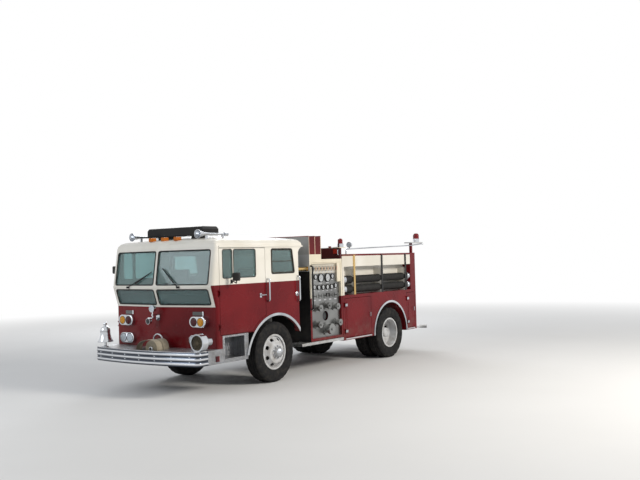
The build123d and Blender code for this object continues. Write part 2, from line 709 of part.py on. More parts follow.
def bumper_deck():
    """Four plates between bumper and nose round a sunk tray for the rolled hose, and a hoop behind it."""
    disc = Pos(0, FRONT_END + BUMPER_R, DECK_Z - 5) * Cylinder(BUMPER_R - 14, 10)
    sheet = disc & block((-DECK_HALF, DECK_HALF), (FRONT_END - 20, DECK_BACK), (700, 760))
    (x0, x1), (y0, y1), (z0, z1) = HOSE_WELL
    tray = block((x0 - TRAY_WALL, x1 + TRAY_WALL), (y0 - TRAY_WALL, y1 + TRAY_WALL), (z0 - TRAY_WALL, z1))
    tray -= block((x0, x1), (y0, y1), (z0, z1 + 20))
    rim = TRAY_WALL + DECK_SEAM
    right = sheet & block((-HALF, x0 - rim), (FRONT_END - 20, DECK_BACK), (700, 760))
    left = sheet & block((x1 + rim, HALF), (FRONT_END - 20, DECK_BACK), (700, 760))
    across = (x0 - TRAY_WALL, x1 + TRAY_WALL)
    front = sheet & block(across, (FRONT_END - 20, y0 - rim), (700, 760))
    back = sheet & block(across, (y1 + rim, DECK_BACK), (700, 760))
    top = HOOP_TOP - HOOP_BAR
    hoop = tube([(HOOP_X - HOOP_R, HOOP_Y, DECK_Z - 4), (HOOP_X - HOOP_R, HOOP_Y, top),
                 (HOOP_X + HOOP_R, HOOP_Y, top), (HOOP_X + HOOP_R, HOOP_Y, DECK_Z - 4)], HOOP_BAR, HOOP_R - 2)
    return loose(tray, right, left, front, back + hoop)


STEP_IN = HALF - 300.0


def cab_steps():
    """Bright tread-plate skirts and step boxes under the doors."""
    parts = []
    for sign in (1, -1):
        outer = side_plate([(-235, 497), (740, 497), (740, DOOR_LOW - 6), (110, DOOR_LOW - 6), (110, CAB_LOW_Z),
                            (-235, CAB_LOW_Z)], sign * STEP_IN, sign * (HALF - 2))
        outer -= block((sign * (STEP_IN - 10), sign * (HALF - 12)), (-240, 104), (480, 740))
        pocket = block((sign * (STEP_IN + 30), sign * (HALF + 20)), (160, 640), (560, 900))
        under = block((sign * (STEP_IN + 12), sign * (HALF - 12)), (122, 728), (480, 548))
        face = Plane.YZ.offset(-HALF - 50) * Pos(FRONT_AXLE_Y, ARCH_Z) * Circle(ARCH_R)
        arch = extrude(face, 2 * HALF + 100)
        parts.append(outer - pocket - under - arch)
    return loose(*parts)


def arch_trim():
    """Bright flares round the wheel arches, front and rear."""
    parts = []
    for sign in (1, -1):
        x0, x1 = sorted((sign * HALF, sign * (HALF + 16)))
        ring = arch_cutter(ARCH_R + 44, x0, x1) - arch_cutter(ARCH_R, x0 - 5, x1 + 5)
        ring -= block((-HALF - 100, HALF + 100), (0, 3000), (-600, 560))
        ring -= block((-HALF - 100, HALF + 100), (CAB_BACK, 3000), (0, 2000))
        parts.append(ring)
        x0, x1 = sorted((sign * BODY_HALF, sign * (BODY_HALF + 18)))
        base = Plane.YZ.offset(x0) * Pos(REAR_AXLE_Y, TYRE_R)
        rear = extrude(base * Circle(REAR_ARCH_R + 42), x1 - x0)
        rear -= extrude(Plane.YZ.offset(x0 - 5) * Pos(REAR_AXLE_Y, TYRE_R) * Circle(REAR_ARCH_R), x1 - x0 + 10)
        rear -= block((-HALF - 100, HALF + 100), (4000, 6500), (-600, LOCKER_LOW))
        parts.append(rear)
    return loose(*parts)


# Lamps on the nose: x, z, bezel width, bezel height, lens radius, lens spacing
LAMP_COLUMNS = ("x", "z", "width", "height", "lens_r", "spacing")
SIGNAL = (857.0, 1164.0, 358.0, 182.0, 68.0, 75.0)
HEADLAMP = (830.0, 864.0, 345.0, 178.0, 72.0, 80.0)
LAMP_FACE = 80.0


def lamp_bezel(row):
    """An oval bright housing that seats on the nose, with two round pockets."""
    x, z, width, height, lens_r, spacing = row
    face_y = nose_y(x, z) - LAMP_FACE
    slot = Plane.XZ.offset(-face_y - 260) * Pos(x, z) * SlotOverall(width, height)
    body = extrude(slot, 260) - cab_block(0)
    body = fillet(body.edges().filter_by_position(Axis.Y, face_y - 1, face_y + 1), 14)
    for side in (1, -1):
        body -= bar("y", (x + side * spacing, face_y, z), lens_r, 50)
    return body


def lens(x, y, z, radius, depth):
    """A slightly domed round lens that faces forward and seats in a pocket."""
    dome = 10.0
    ball = (radius ** 2 + dome ** 2) / (2 * dome)
    half = math.asin(radius / ball) / 2
    middle = (ball * math.sin(half), depth + dome - ball * (1 - math.cos(half)))
    profile = make_face(Curve() + [Line((0, 0), (radius, 0)), Line((radius, 0), (radius, depth)),
                                   ThreePointArc((radius, depth), middle, (0, depth + dome)),
                                   Line((0, depth + dome), (0, 0))])
    shape = revolve(Plane.XY * profile, Axis.Y, 360)
    return Pos(x, y, z) * Rot(180, 0, 0) * shape


def nose_lenses(row, sides):
    """Lenses of one lamp pair on both sides; sides picks outboard (1) or inboard (-1)."""
    x, z, width, height, lens_r, spacing = row
    face_y = nose_y(x, z) - LAMP_FACE
    parts = []
    for side in sides:
        one = lens(x + side * spacing, face_y + 25, z, lens_r - 0.1, 25)
        parts += [one, mirrored(one)]
    return parts


BEACON_COLUMNS = ("y", "z", "base_r", "base_h", "lens_r", "lens_h", "sides")
BEACON_X = BODY_HALF - 80.0
WALL_TOP = 2335.0
PLATE_Z = WALL_TOP + 12.0
REAR_PLATE_Z = 2445.0
BEACONS = [(3655.0, PLATE_Z, 62.0, 68.0, 50.0, 103.0, (1, -1)),
           (6700.0, REAR_PLATE_Z, 72.0, 77.0, 68.0, 123.0, (1,))]
SPOT_COLUMNS = ("x", "z", "radius")
SPOTLIGHT = (0.0, 1382.0, 60.0)
SPOT_REACH = 144.0
UNDER_LAMP = (-92.0, 1170.0, 50.0)
FLOODLIGHT = (BODY_HALF - 40.0, 3920.0, 2392.0, 55.0)
WALL_LAMP = (BODY_HALF - 107.0, 2265.0, 80.0, 90.0)
SKIRT_MARKER = (-20.0, 580.0, 75.0, 90.0)
TAIL_LAMP_COLUMNS = ("x", "z", "radius")
TAIL_LAMPS = [(BODY_HALF - 105.0, 900.0, 62.0), (BODY_HALF - 105.0, 1080.0, 62.0)]


def small_lamp(x, y, z, radius):
    """A round shell with a recessed face, looking forward."""
    rim = radius - 6
    shell = turned([(-radius, 0), (-radius, radius * 0.42), (-radius * 0.55, radius * 0.84), (0, radius),
                    (26, radius), (26, rim), (8, rim - 2), (8, 0)])
    return Pos(x, y, z) * Rot(0, 0, -90) * shell


def lamp_housings():
    """Bright bezels, the centre spotlight, beacon bases, the floodlight and tail lamp rims."""
    parts = []
    for row in (SIGNAL, HEADLAMP):
        one = lamp_bezel(row)
        parts += [one, mirrored(one)]
    face_y = nose_y(0, 1230)
    spot_y = face_y - SPOT_REACH
    x, z, radius = SPOTLIGHT
    spot = small_lamp(x, spot_y, z, radius)
    spot += bar("z", (x, spot_y, z - radius - 42), 12, 90)
    bracket = block((-14, 14), (spot_y - 14, face_y + 20), (1262, 1290))
    bracket += block((-40, 40), (face_y - 30, 0), (1180, 1270))
    x, z, radius = UNDER_LAMP
    bracket += block((x - 12, 0), (spot_y - 14, face_y - 8), (z + radius - 4, z + radius + 16))
    parts.append(spot + small_lamp(x, spot_y, z, radius) + (bracket - cab_block(0)))
    for y, z, base_r, base_h, lens_r, lens_h, sides in BEACONS:
        for side in sides:
            parts.append(bar("z", (side * BEACON_X, y, z + base_h / 2), base_r, base_h))
    x, y, z, radius = FLOODLIGHT
    low = top_rail_z(y) + TOP_RAIL_R + 0.1
    stem = block((x - 8, x + 8), (y - 8, y + 8), (low, z - radius + 4))
    parts.append(small_lamp(x, y, z, radius) + stem)
    for x, z, radius in TAIL_LAMPS:
        rim = bar("y", (x, BODY_BACK + 14, z), radius + 12, 28) - bar("y", (x, BODY_BACK + 24, z), radius, 28)
        parts += [rim, mirrored(rim)]
    return loose(*parts)


def clear_lenses():
    """Round head lamps and the glasses of the spotlights."""
    parts = nose_lenses(HEADLAMP, (1, -1))
    spot_y = nose_y(0, 1230) - SPOT_REACH
    for x, z, radius in (SPOTLIGHT, UNDER_LAMP):
        parts.append(bar("y", (x, spot_y - 8 - 6, z), radius - 8.1, 12))
    x, y, z, radius = FLOODLIGHT
    parts.append(bar("y", (x, y - 8 - 6, z), radius - 8.1, 12))
    return loose(*parts)


def coloured_lenses():
    """Signals on the nose, beacons, the square lamps by the pump and tail lamps."""
    parts = nose_lenses(SIGNAL, (1, -1))
    for y, z, base_r, base_h, lens_r, lens_h, sides in BEACONS:
        shoulder, crown = lens_h * 0.6, lens_r * 0.3
        dome = make_face(Curve() + [
            Line((0, 0), (lens_r, 0)), Line((lens_r, 0), (lens_r - 2, shoulder)),
            ThreePointArc((lens_r - 2, shoulder), (lens_r * 0.78, lens_h * 0.88), (crown, lens_h)),
            Line((crown, lens_h), (0, lens_h)), Line((0, lens_h), (0, 0))])
        for side in sides:
            parts.append(Pos(side * BEACON_X, y, z + base_h) * revolve(Plane.XZ * dome, Axis.Z, 360))
    x, z, width, height = WALL_LAMP
    one = block((x - width / 2, x + width / 2), (WALL_Y - 14, WALL_Y), (z - height / 2, z + height / 2))
    parts += [one, mirrored(one)]
    y, z, width, height = SKIRT_MARKER
    one = block((HALF - 2, HALF + 10), (y - width / 2, y + width / 2), (z - height / 2, z + height / 2))
    parts += [one, mirrored(one)]
    for x, z, radius in TAIL_LAMPS:
        one = bar("y", (x, BODY_BACK + 23, z), radius - 0.1, 26)
        parts += [one, mirrored(one)]
    return loose(*parts)


WIPER_COLUMNS = ("pivot_x", "tip_x", "pivot_z", "tip_z")
WIPERS = [(514.0, 161.0, 1700.0, 2041.0), (-716.0, -99.0, 1700.0, 1980.0)]


def wipers():
    """Two arms that pivot on the rail between the upper and lower panes."""
    parts = []
    for pivot_x, tip_x, pivot_z, tip_z in WIPERS:
        root = (pivot_x, nose_y(pivot_x, 1728) - 22, pivot_z + 28)
        tip = (tip_x, nose_y(tip_x, tip_z) - 16, tip_z)
        arm = tube([root, tip], 7)
        boss = block((pivot_x - 22, pivot_x + 22), (root[1] - 12, root[1] + 60), (1712, 1744)) - cab_block(0)
        half_x, half_z = (tip_x - pivot_x) * 0.34, (tip_z - pivot_z) * 0.34
        ends = []
        for sign in (-1, 1):
            x = tip_x + (sign - 1) * half_x
            z = tip_z + (sign - 1) * half_z
            ends.append((x, nose_y(x, z) - 10, z))
        blade = tube(ends, 9) - cab_block(0)
        parts.append(arm + boss + blade)
    return loose(*parts)


BELL_X, BELL_Y = -(HALF - 150.0), -400.0


def bell():
    """Flared bell with a finial on its stand over the right end of the deck."""
    profile = make_face(Curve() + [
        Line((0, 0), (60, 0)), Line((60, 0), (60, 12)), Line((60, 12), (20, 20)), Line((20, 20), (20, 90)),
        Line((20, 90), (118, 90)), Line((118, 90), (132, 80)), Line((132, 80), (132, 92)),
        ThreePointArc((132, 92), (96, 172), (86, 262)), ThreePointArc((86, 262), (68, 322), (24, 350)),
        Line((24, 350), (24, 366)), ThreePointArc((24, 366), (31, 392), (10, 418)),
        Line((10, 418), (0, 418)), Line((0, 418), (0, 0))])
    return Pos(BELL_X, BELL_Y, DECK_Z) * revolve(Plane.XZ * profile, Axis.Z, 360)


SIREN_X, SIREN_Y, SIREN_R = HALF - 30.0, -450.0, 140.0
SIREN_Z = DECK_Z + SIREN_R + 1.0


def siren():
    """Mechanical siren: bright drum with a recessed grille and its motor behind, on a saddle foot."""
    drum = Pos(SIREN_X, SIREN_Y, SIREN_Z) * Rot(0, 0, 90) * turned(
        [(0, SIREN_R - 22), (0, SIREN_R), (120, SIREN_R), (150, 118), (175, 72), (290, 66), (300, 52), (300, 0),
         (30, 0), (30, SIREN_R - 22)])
    for index in range(6):
        drum += Pos(SIREN_X, SIREN_Y + 16, SIREN_Z) * Rot(0, index * 30, 0) * Box(2 * SIREN_R - 40, 14, 9)
    foot = block((SIREN_X - 80, SIREN_X + 12), (SIREN_Y + 20, SIREN_Y + 110), (DECK_Z, SIREN_Z - 100))
    return drum + foot


HOSE_ROLL_X, HOSE_WIDTH = 215.0, 125.0
HOSE_ROLL_COLUMNS = ("y0", "radius")
HOSE_ROLLS = [(-515.0, 140.0), (-383.0, 146.0)]
SOFT_CLEAR = 0.3
HOSE_TAIL_OUT = [(215, 903), (130, 900), (38, 890), (-46, 867), (-110, 831), (-142, 779), (-152, 715), (-143, 656),
                 (-112, 611), (30, 611)]
HOSE_TAIL_IN = [(30, 623), (-100, 623), (-131, 660), (-140, 715), (-130, 775), (-100, 822), (-40, 856), (40, 878),
                (130, 888), (215, 891)]


def hose_roll():
    """Two rolled hoses that stand in the tray; plain soft solids."""
    parts = []
    for y0, radius in HOSE_ROLLS:
        centre = (HOSE_ROLL_X, y0 + HOSE_WIDTH / 2, HOSE_WELL[2][0] + radius + SOFT_CLEAR)
        parts.append(bar("y", centre, radius, HOSE_WIDTH))
    return loose(*parts)


def hose_tail():
    """The front roll's flat free end, from its top down into the tray; a plain soft solid."""
    y0 = HOSE_ROLLS[0][0]
    return front_plate(HOSE_TAIL_OUT + HOSE_TAIL_IN, y0, y0 + HOSE_WIDTH)


def hose_coupling():
    """Coupling in the eye of the front roll."""
    y0, radius = HOSE_ROLLS[0]
    return bar("y", (HOSE_ROLL_X, y0 - 9, HOSE_WELL[2][0] + radius + SOFT_CLEAR), 38, 18)


def light_bar():
    """Roof light bar: long housing on two feet."""
    housing = front_plate([(-750, 2578), (600, 2578), (600, 2690), (560, 2735), (-710, 2735), (-750, 2690)], 340, 720)
    housing = fillet(housing.edges().filter_by(Axis.X), 22)
    feet = housing
    for x in (-480, 330):
        feet += block((x - 60, x + 60), (400, 660), (2500, 2580))
    return feet - roof_cap()


AIR_HORN_X = HALF - 410.0
AIR_HORN_Y, AIR_HORN_Z, AIR_HORN_R, AIR_HORN_LENGTH = 15.0, 2592.0, 74.0, 720.0
ROOF_SEAT_Z = 2470.0


def air_horns():
    """Two long hollow trumpets on the roof, bells to the front."""
    parts = []
    outside = [(0, AIR_HORN_R), (12, 71), (70, 45), (150, 29), (300, 19), (AIR_HORN_LENGTH - 80, 14),
               (AIR_HORN_LENGTH - 80, 30), (AIR_HORN_LENGTH, 30), (AIR_HORN_LENGTH, 0)]
    inside = [(170, 0), (150, 12), (70, 38), (12, 66), (0, AIR_HORN_R - 5)]
    for sign in (1, -1):
        x = sign * AIR_HORN_X
        horn = Pos(x, AIR_HORN_Y, AIR_HORN_Z) * Rot(0, 0, 90) * turned(outside + inside)
        for y in (AIR_HORN_Y + 210, AIR_HORN_Y + 600):
            horn += block((x - 16, x + 16), (y - 16, y + 16), (ROOF_SEAT_Z, AIR_HORN_Z - 7))
        parts.append(horn - roof_cap())
    return loose(*parts)


def marker_lamps():
    parts = []
    for x in (-300.0, 0.0, 300.0):
        lamp = Pos(x, 40, 2528) * Box(70, 110, 66)
        lamp = fillet(lamp.edges().filter_by(Axis.Y), 16)
        parts.append(lamp - roof_cap())
    return parts


# Pump house

CROSSLAY_BACK = 2890.0
CROSSLAY_TOP = 2560.0
CROSSLAY_LOW = 2215.0
WALL_Y = PUMP_BACK - 60.0


def pump_module():
    """Framed pump house: side frames, bulkheads, top deck and the gallery over it."""
    x, y = (-BODY_HALF, BODY_HALF), (PUMP_FRONT, PUMP_BACK)
    house = block(x, y, (600, PUMP_TOP)) - block(x, (PUMP_FRONT + 25, PUMP_BACK - 25), (560, PUMP_TOP - 25))
    for sign in (1, -1):
        outer, inner = sign * BODY_HALF, sign * (BODY_HALF - 45)
        posts = block((inner, outer), (PUMP_FRONT, PUMP_FRONT + 50), (600, PUMP_TOP))
        posts += block((inner, outer), (PUMP_BACK - 50, PUMP_BACK), (600, PUMP_TOP))
        posts += block((inner, outer), y, (PUMP_TOP - 60, PUMP_TOP))
        posts += block((inner, outer), y, (600, 650))
        house += posts
    house -= block((-450, 450), (PUMP_FRONT - 50, PUMP_BACK + 50), (500, RAIL_TOP))
    locker = block((-BODY_HALF, BODY_HALF), (PUMP_FRONT, CROSSLAY_BACK), (PUMP_TOP - 2, CROSSLAY_LOW))
    locker += block((-BODY_HALF, BODY_HALF), (WALL_Y, PUMP_BACK), (PUMP_TOP - 2, WALL_TOP))
    for sign in (1, -1):
        plate = block((sign * (BODY_HALF - 160), sign * BODY_HALF), (WALL_Y - 10, 3720), (WALL_TOP - 2, PLATE_Z))
        x = sign * (BODY_HALF - 70)
        guide = bar("y", (x, PUMP_FRONT - 170, 1950), 35, 350)
        guide -= bar("y", (x, PUMP_FRONT - 190, 1950), 29, 340)
        locker = locker + plate + guide
    return house + locker


PANEL_X = BODY_HALF - 45.0
GAUGE_COLUMNS = ("y", "z", "radius", "depth")
GAUGES = [(2910.0, 1770.0, 84.0, 26.0), (3130.0, 1770.0, 84.0, 26.0), (2740.0, 1790.0, 50.0, 22.0),
          (3290.0, 1790.0, 50.0, 22.0), (2700.0, 1600.0, 50.0, 22.0), (2840.0, 1590.0, 50.0, 22.0),
          (2980.0, 1590.0, 50.0, 22.0), (3120.0, 1590.0, 50.0, 22.0), (3260.0, 1590.0, 50.0, 22.0),
          (3390.0, 1610.0, 50.0, 22.0)]
OUTLET_COLUMNS = ("y", "z", "radius", "reach")
OUTLETS = [(2760.0, 1210.0, 62.0, 120.0), (3040.0, 1240.0, 58.0, 120.0), (3320.0, 1210.0, 62.0, 120.0),
           (2740.0, 900.0, 62.0, 120.0), (3390.0, 900.0, 62.0, 120.0)]
INTAKE = (3060.0, 800.0, 100.0, 150.0)
LEVER_ROW = [2690.0 + 98.0 * index for index in range(8)]
LEVER_Z = 1945.0
LOW_LEVERS = [2700.0, 2870.0, 3040.0, 3210.0, 3380.0]
LOW_LEVER_Z = 1430.0


def capped_outlet(y, z, radius, reach):
    """A flanged outlet with its cap and two rocker lugs, standing out to +x."""
    neck = bar("x", (PANEL_X + reach * 0.3, y, z), radius * 0.8, reach * 0.6)
    flange = bar("x", (PANEL_X + 8, y, z), radius * 1.25, 16)
    cap = bar("x", (PANEL_X + reach * 0.75, y, z), radius, reach * 0.4)
    lugs = block((PANEL_X + reach * 0.6, PANEL_X + reach * 0.85), (y - radius * 1.3, y + radius * 1.3), (z - 11, z + 11))
    nut = bar("x", (PANEL_X + reach * 1.0, y, z), radius * 0.3, 24)
    return neck + flange + cap + lugs + nut


def gauge(y, z, radius, depth):
    """A round dial with a raised rim."""
    ring = bar("x", (PANEL_X + depth / 2, y, z), radius, depth)
    return ring - bar("x", (PANEL_X + depth, y, z), radius - 9, depth)


def lever(y, z):
    """A pull rod with its tee grip through an escutcheon."""
    plate = block((PANEL_X, PANEL_X + 8), (y - 28, y + 28), (z - 45, z + 45))
    stem = bar("x", (PANEL_X + 34, y, z), 8, 60)
    grip = bar("z", (PANEL_X + 62, y, z), 12, 72)
    return plate + stem + grip


def pump_panel():
    """One operator's panel: plate, dials, pull levers, capped outlets and the large intake."""
    panel = block((PANEL_X - 4, PANEL_X), (PUMP_FRONT + 25, PUMP_BACK - 25), (602, PUMP_TOP - 27))
    for y in LEVER_ROW:
        panel += lever(y, LEVER_Z)
    for row in GAUGES:
        panel += gauge(*row)
    for row in OUTLETS:
        panel += capped_outlet(*row)
    y, z, radius, reach = INTAKE
    panel += capped_outlet(y, z, radius, reach)
    for y in LOW_LEVERS:
        panel += lever(y, LOW_LEVER_Z)
    panel -= bar("x", (0, 3040, SUCTION_STUB_Z), 92, 2 * BODY_HALF)
    return panel


def pump_panels():
    """Panels on both sides; the pump's suction stub passes through each."""
    one = pump_panel()
    return loose(one, mirrored(one))


CROSSLAY_PLATES = [(2510.0, 2522.0), (2694.0, 2706.0), (2878.0, CROSSLAY_BACK)]
GATE = 12.0


def crosslay_bed():
    """Hose trays across the vehicle: three plates on a floor, gates at the sides, open on top."""
    low, high = CROSSLAY_LOW, CROSSLAY_TOP
    bed = block((-BODY_HALF, BODY_HALF), (PUMP_FRONT, CROSSLAY_BACK), (low, low + 15))
    for y0, y1 in CROSSLAY_PLATES:
        bed += block((-BODY_HALF, BODY_HALF), (y0, y1), (low, high))
    for sign in (1, -1):
        bed += block((sign * (BODY_HALF - GATE), sign * BODY_HALF), (PUMP_FRONT, CROSSLAY_BACK), (low, high - 12))
    return bed


# Hose body and lockers

TRAY_Z = 1960.0
BRACKET_YS = [4000.0, 5050.0, 6030.0]


SUCTION_COLUMNS = ("z",)
SUCTION_ROWS = [1510.0, 1700.0]
SUCTION_X = BODY_HALF - 90.0
MAST_X = BODY_HALF - 53.0
SUCTION_R = 78.0


def hose_cradle(y):
    """A saddle across the left tray that carries both suction hoses."""
    saddle = block((BED_HALF - 2, BODY_HALF - 30), (y - 20, y + 20), (LOCKER_TOP, 1900))
    for z in SUCTION_ROWS:
        saddle -= bar("y", (SUCTION_X, y, z), SUCTION_R, 100)
    return saddle


def hose_body():
    """Hose bed with deep sides, overhanging top shelves and the rear corner posts."""
    bed = block((-BED_HALF, BED_HALF), (BODY_FRONT, BODY_BACK), (LOCKER_TOP, BED_TOP))
    bed -= block((-BED_HALF + 35, BED_HALF - 35), (BODY_FRONT + 35, BODY_BACK + 50), (BED_FLOOR, BED_TOP + 50))
    for sign in (1, -1):
        outer = sign * BODY_HALF
        shelf = block((sign * (BED_HALF - 2), outer), (BODY_FRONT, BODY_BACK), (BED_TOP - 30, BED_TOP))
        apron = block((sign * (BODY_HALF - 30), outer), (BODY_FRONT, BODY_BACK), (TRAY_Z, BED_TOP))
        post = block((sign * (BED_HALF - 2), outer), (6250, BODY_BACK), (LOCKER_TOP, BED_TOP))
        end = block((sign * (BED_HALF - 2), outer), (BODY_FRONT, BODY_FRONT + 60), (LOCKER_TOP, BED_TOP))
        bed = bed + shelf + apron + post + end
        rail = block((sign * (BODY_HALF - 60), outer), (BODY_FRONT, BODY_BACK), (BED_TOP - 2, BED_TOP + 38))
        mast = block((sign * (BODY_HALF - 108), sign * MAST_X), (BODY_BACK - 45, BODY_BACK), (BED_TOP - 2, REAR_PLATE_Z - 22))
        bed = bed + rail + mast
        for y in BRACKET_YS:
            bed += block((outer, outer + sign * 12), (y - 30, y + 30), (LOCKER_TOP + 10, BED_TOP + 20))
            bed += block((sign * (BODY_HALF - 40), outer + sign * 12), (y - 30, y + 30), (LOCKER_TOP, LOCKER_TOP + 12))
    for y in BRACKET_YS:
        bed += hose_cradle(y)
    bed += block((BED_HALF, BODY_HALF), (BODY_BACK - 120, 6850), (REAR_PLATE_Z - 24, REAR_PLATE_Z))
    return bed


LOCKER_COLUMNS = ("name", "y0", "y1")
LOCKERS = [("front", 3640.0, 4600.0), ("rear", 6060.0, 6400.0)]
LOCKER_DOOR_LOW, LOCKER_DOOR_TOP = 570.0, 1340.0
LOCKER_IN = BODY_HALF - 540.0


def lower_body():
    """Lockers either side of the rear arch, with the rear wall between them."""
    parts = None
    for sign in (1, -1):
        side = block((sign * LOCKER_IN, sign * BODY_HALF), (BODY_FRONT, BODY_BACK), (LOCKER_LOW, LOCKER_TOP))
        for name, y0, y1 in LOCKERS:
            inside = block((sign * (LOCKER_IN + 25), sign * (BODY_HALF - 35)), (y0 - 20, y1 + 20),
                           (LOCKER_LOW + 25, LOCKER_TOP - 25))
            way = block((sign * (BODY_HALF - 80), sign * (BODY_HALF + 20)), (y0, y1), (LOCKER_DOOR_LOW, LOCKER_DOOR_TOP))
            side = side - inside - way
        parts = side if parts is None else parts + side
    arch = extrude(Plane.YZ.offset(-BODY_HALF - 50) * Pos(REAR_AXLE_Y, TYRE_R) * Circle(REAR_ARCH_R), 2 * BODY_HALF + 100)
    parts -= arch
    parts -= block((-BODY_HALF - 50, BODY_HALF + 50), (REAR_AXLE_Y - REAR_ARCH_R, REAR_AXLE_Y + REAR_ARCH_R), (0, TYRE_R))
    rear = block((-LOCKER_IN - 2, LOCKER_IN + 2), (BODY_BACK - 25, BODY_BACK), (560, LOCKER_TOP))
    parts = parts + rear
    for name, y0, y1 in LOCKERS:
        for z in LOCKER_HINGE_Z:
            hinge = fixed_hinge(BODY_HALF, y0, z)
            parts = parts + hinge + mirrored(hinge)
    return parts


def locker_door(y0, y1):
    """A flush locker door with its handle, on the left side."""
    panel = block((BODY_HALF - 30, BODY_HALF), (y0 + GAP, y1 - GAP), (LOCKER_DOOR_LOW + GAP, LOCKER_DOOR_TOP - GAP))
    frame = block((BODY_HALF - 2, BODY_HALF + 5), (y0 + 60, y1 - 60), (LOCKER_DOOR_LOW + 60, LOCKER_DOOR_TOP - 60))
    handle_y = y1 - 75
    grip = tube([(BODY_HALF, handle_y, 930), (BODY_HALF + 34, handle_y, 930), (BODY_HALF + 34, handle_y, 1010),
                 (BODY_HALF, handle_y, 1010)], 7, 14)
    for z in LOCKER_HINGE_Z:
        panel += moving_hinge(BODY_HALF, y0, z)
    return panel + frame + grip


def step_boards():
    """Running boards by the pump panels and the tailboard."""
    parts = []
    for sign in (1, -1):
        board = block((sign * STEP_IN, sign * BODY_HALF), (2230, PUMP_BACK), (540, 590))
        board += block((sign * STEP_IN, sign * (STEP_IN + 30)), (PUMP_FRONT, PUMP_BACK), (580, 600))
        parts.append(board)
    tail = block((-BODY_HALF, BODY_HALF), (BODY_BACK, REAR_END), (530, 560))
    tail += block((-BODY_HALF, BODY_HALF), (REAR_END - 30, REAR_END), (490, 560))
    parts.append(tail)
    return loose(*parts)


TOP_RAIL_COLUMNS = ("y", "z")
TOP_RAIL = [(3790.0, 2308.0), (BODY_BACK - 20.0, 2376.0), (6910.0, 2410.0)]
TOP_RAIL_R = 13.0


def top_rail_z(y):
    """Height of the overhead rail's middle between its front post and the rear mast."""
    (y0, z0), (y1, z1) = TOP_RAIL[:2]
    return z0 + (z1 - z0) * (y - y0) / (y1 - y0)


def grab_rails():
    """Bright hand rails beside doors, along the top and at the tail."""
    parts = []
    for sign in (1, -1):
        def rail(points, radius=15, bend=30):
            return tube([(sign * x, y, z) for x, y, z in points], radius, bend)
        parts.append(rail([(HALF, 1262, 1430), (HALF + 55, 1262, 1430), (HALF + 55, 1262, 1810), (HALF, 1262, 1810)]))
        parts.append(rail([(HALF, 2120, 1390), (HALF + 55, 2120, 1390), (HALF + 55, 2120, 1830), (HALF, 2120, 1830)]))
        parts.append(rail([(BODY_HALF, 2535, 1200), (BODY_HALF + 50, 2535, 1200), (BODY_HALF + 50, 2535, 2000),
                           (BODY_HALF, 2535, 2000)], 15, 30))
        parts.append(rail([(BODY_HALF - 20, WALL_Y, 2200), (BODY_HALF - 20, WALL_Y - 40, 2200),
                           (BODY_HALF - 20, WALL_Y - 40, 2290), (BODY_HALF - 20, WALL_Y, 2290)], 9, 16))
        x = BODY_HALF - 40
        top = rail([(x, 3790, BED_TOP + 38), (x, 3790, TOP_RAIL[0][1]), (x, TOP_RAIL[1][0], TOP_RAIL[1][1]),
                    (x, TOP_RAIL[2][0], TOP_RAIL[2][1])], TOP_RAIL_R, 60)
        top += Pos(sign * x, *TOP_RAIL[2]) * Sphere(22)
        top += block((sign * MAST_X, sign * x), (BODY_BACK - 35, BODY_BACK - 10), (TOP_RAIL[1][1] - 9, TOP_RAIL[1][1] + 9))
        parts.append(top)
        x = BODY_HALF - 70
        parts.append(rail([(x, BODY_BACK, 700), (x, BODY_BACK + 70, 700), (x, BODY_BACK + 70, 1330),
                           (x, BODY_BACK, 1330)]))
    reach = BED_HALF - 100
    cross = tube([(-reach, BODY_BACK, 1380), (-reach, BODY_BACK + 80, 1380), (reach, BODY_BACK + 80, 1380),
                  (reach, BODY_BACK, 1380)], 16, 40)
    parts.append(cross)
    return loose(*parts)


def suction_hoses():
    """Two hard suction hoses in the left tray, between shelf and locker top."""
    parts = []
    for z in SUCTION_ROWS:
        hose = bar("y", (SUCTION_X, 4942, z), SUCTION_R, 2404)
        for y in (3695.0, 6190.0):
            hose += bar("y", (SUCTION_X, y, z), 86, 96)
        parts.append(hose)
    return loose(*parts)


LADDER_Z0, LADDER_Z1 = 1440.0, 1900.0
LADDER_X = BODY_HALF - 80.0


def ladder():
    """Straight ladder on edge in the right tray."""
    parts = None
    for z in (LADDER_Z0, LADDER_Z1 - 70):
        rail = block((-LADDER_X, 35 - LADDER_X), (3680, 6220), (z, z + 70))
        parts = rail if parts is None else parts + rail
    for index in range(8):
        parts += bar("z", (17.5 - LADDER_X, 3860 + 310 * index, (LADDER_Z0 + LADDER_Z1) / 2), 15, LADDER_Z1 - LADDER_Z0 - 100)
    for y in BRACKET_YS:
        parts += block((35 - LADDER_X, -BED_HALF), (y - 20, y + 20), (LADDER_Z0 + 5, LADDER_Z0 + 60))
    return parts


def place(shape):
    return Pos(0, ORIGIN_Y, 0) * shape


def wheel_place(shape, x, y, side):
    placed = Pos(x, y, TYRE_R) * shape
    return placed if side > 0 else mirrored(placed)


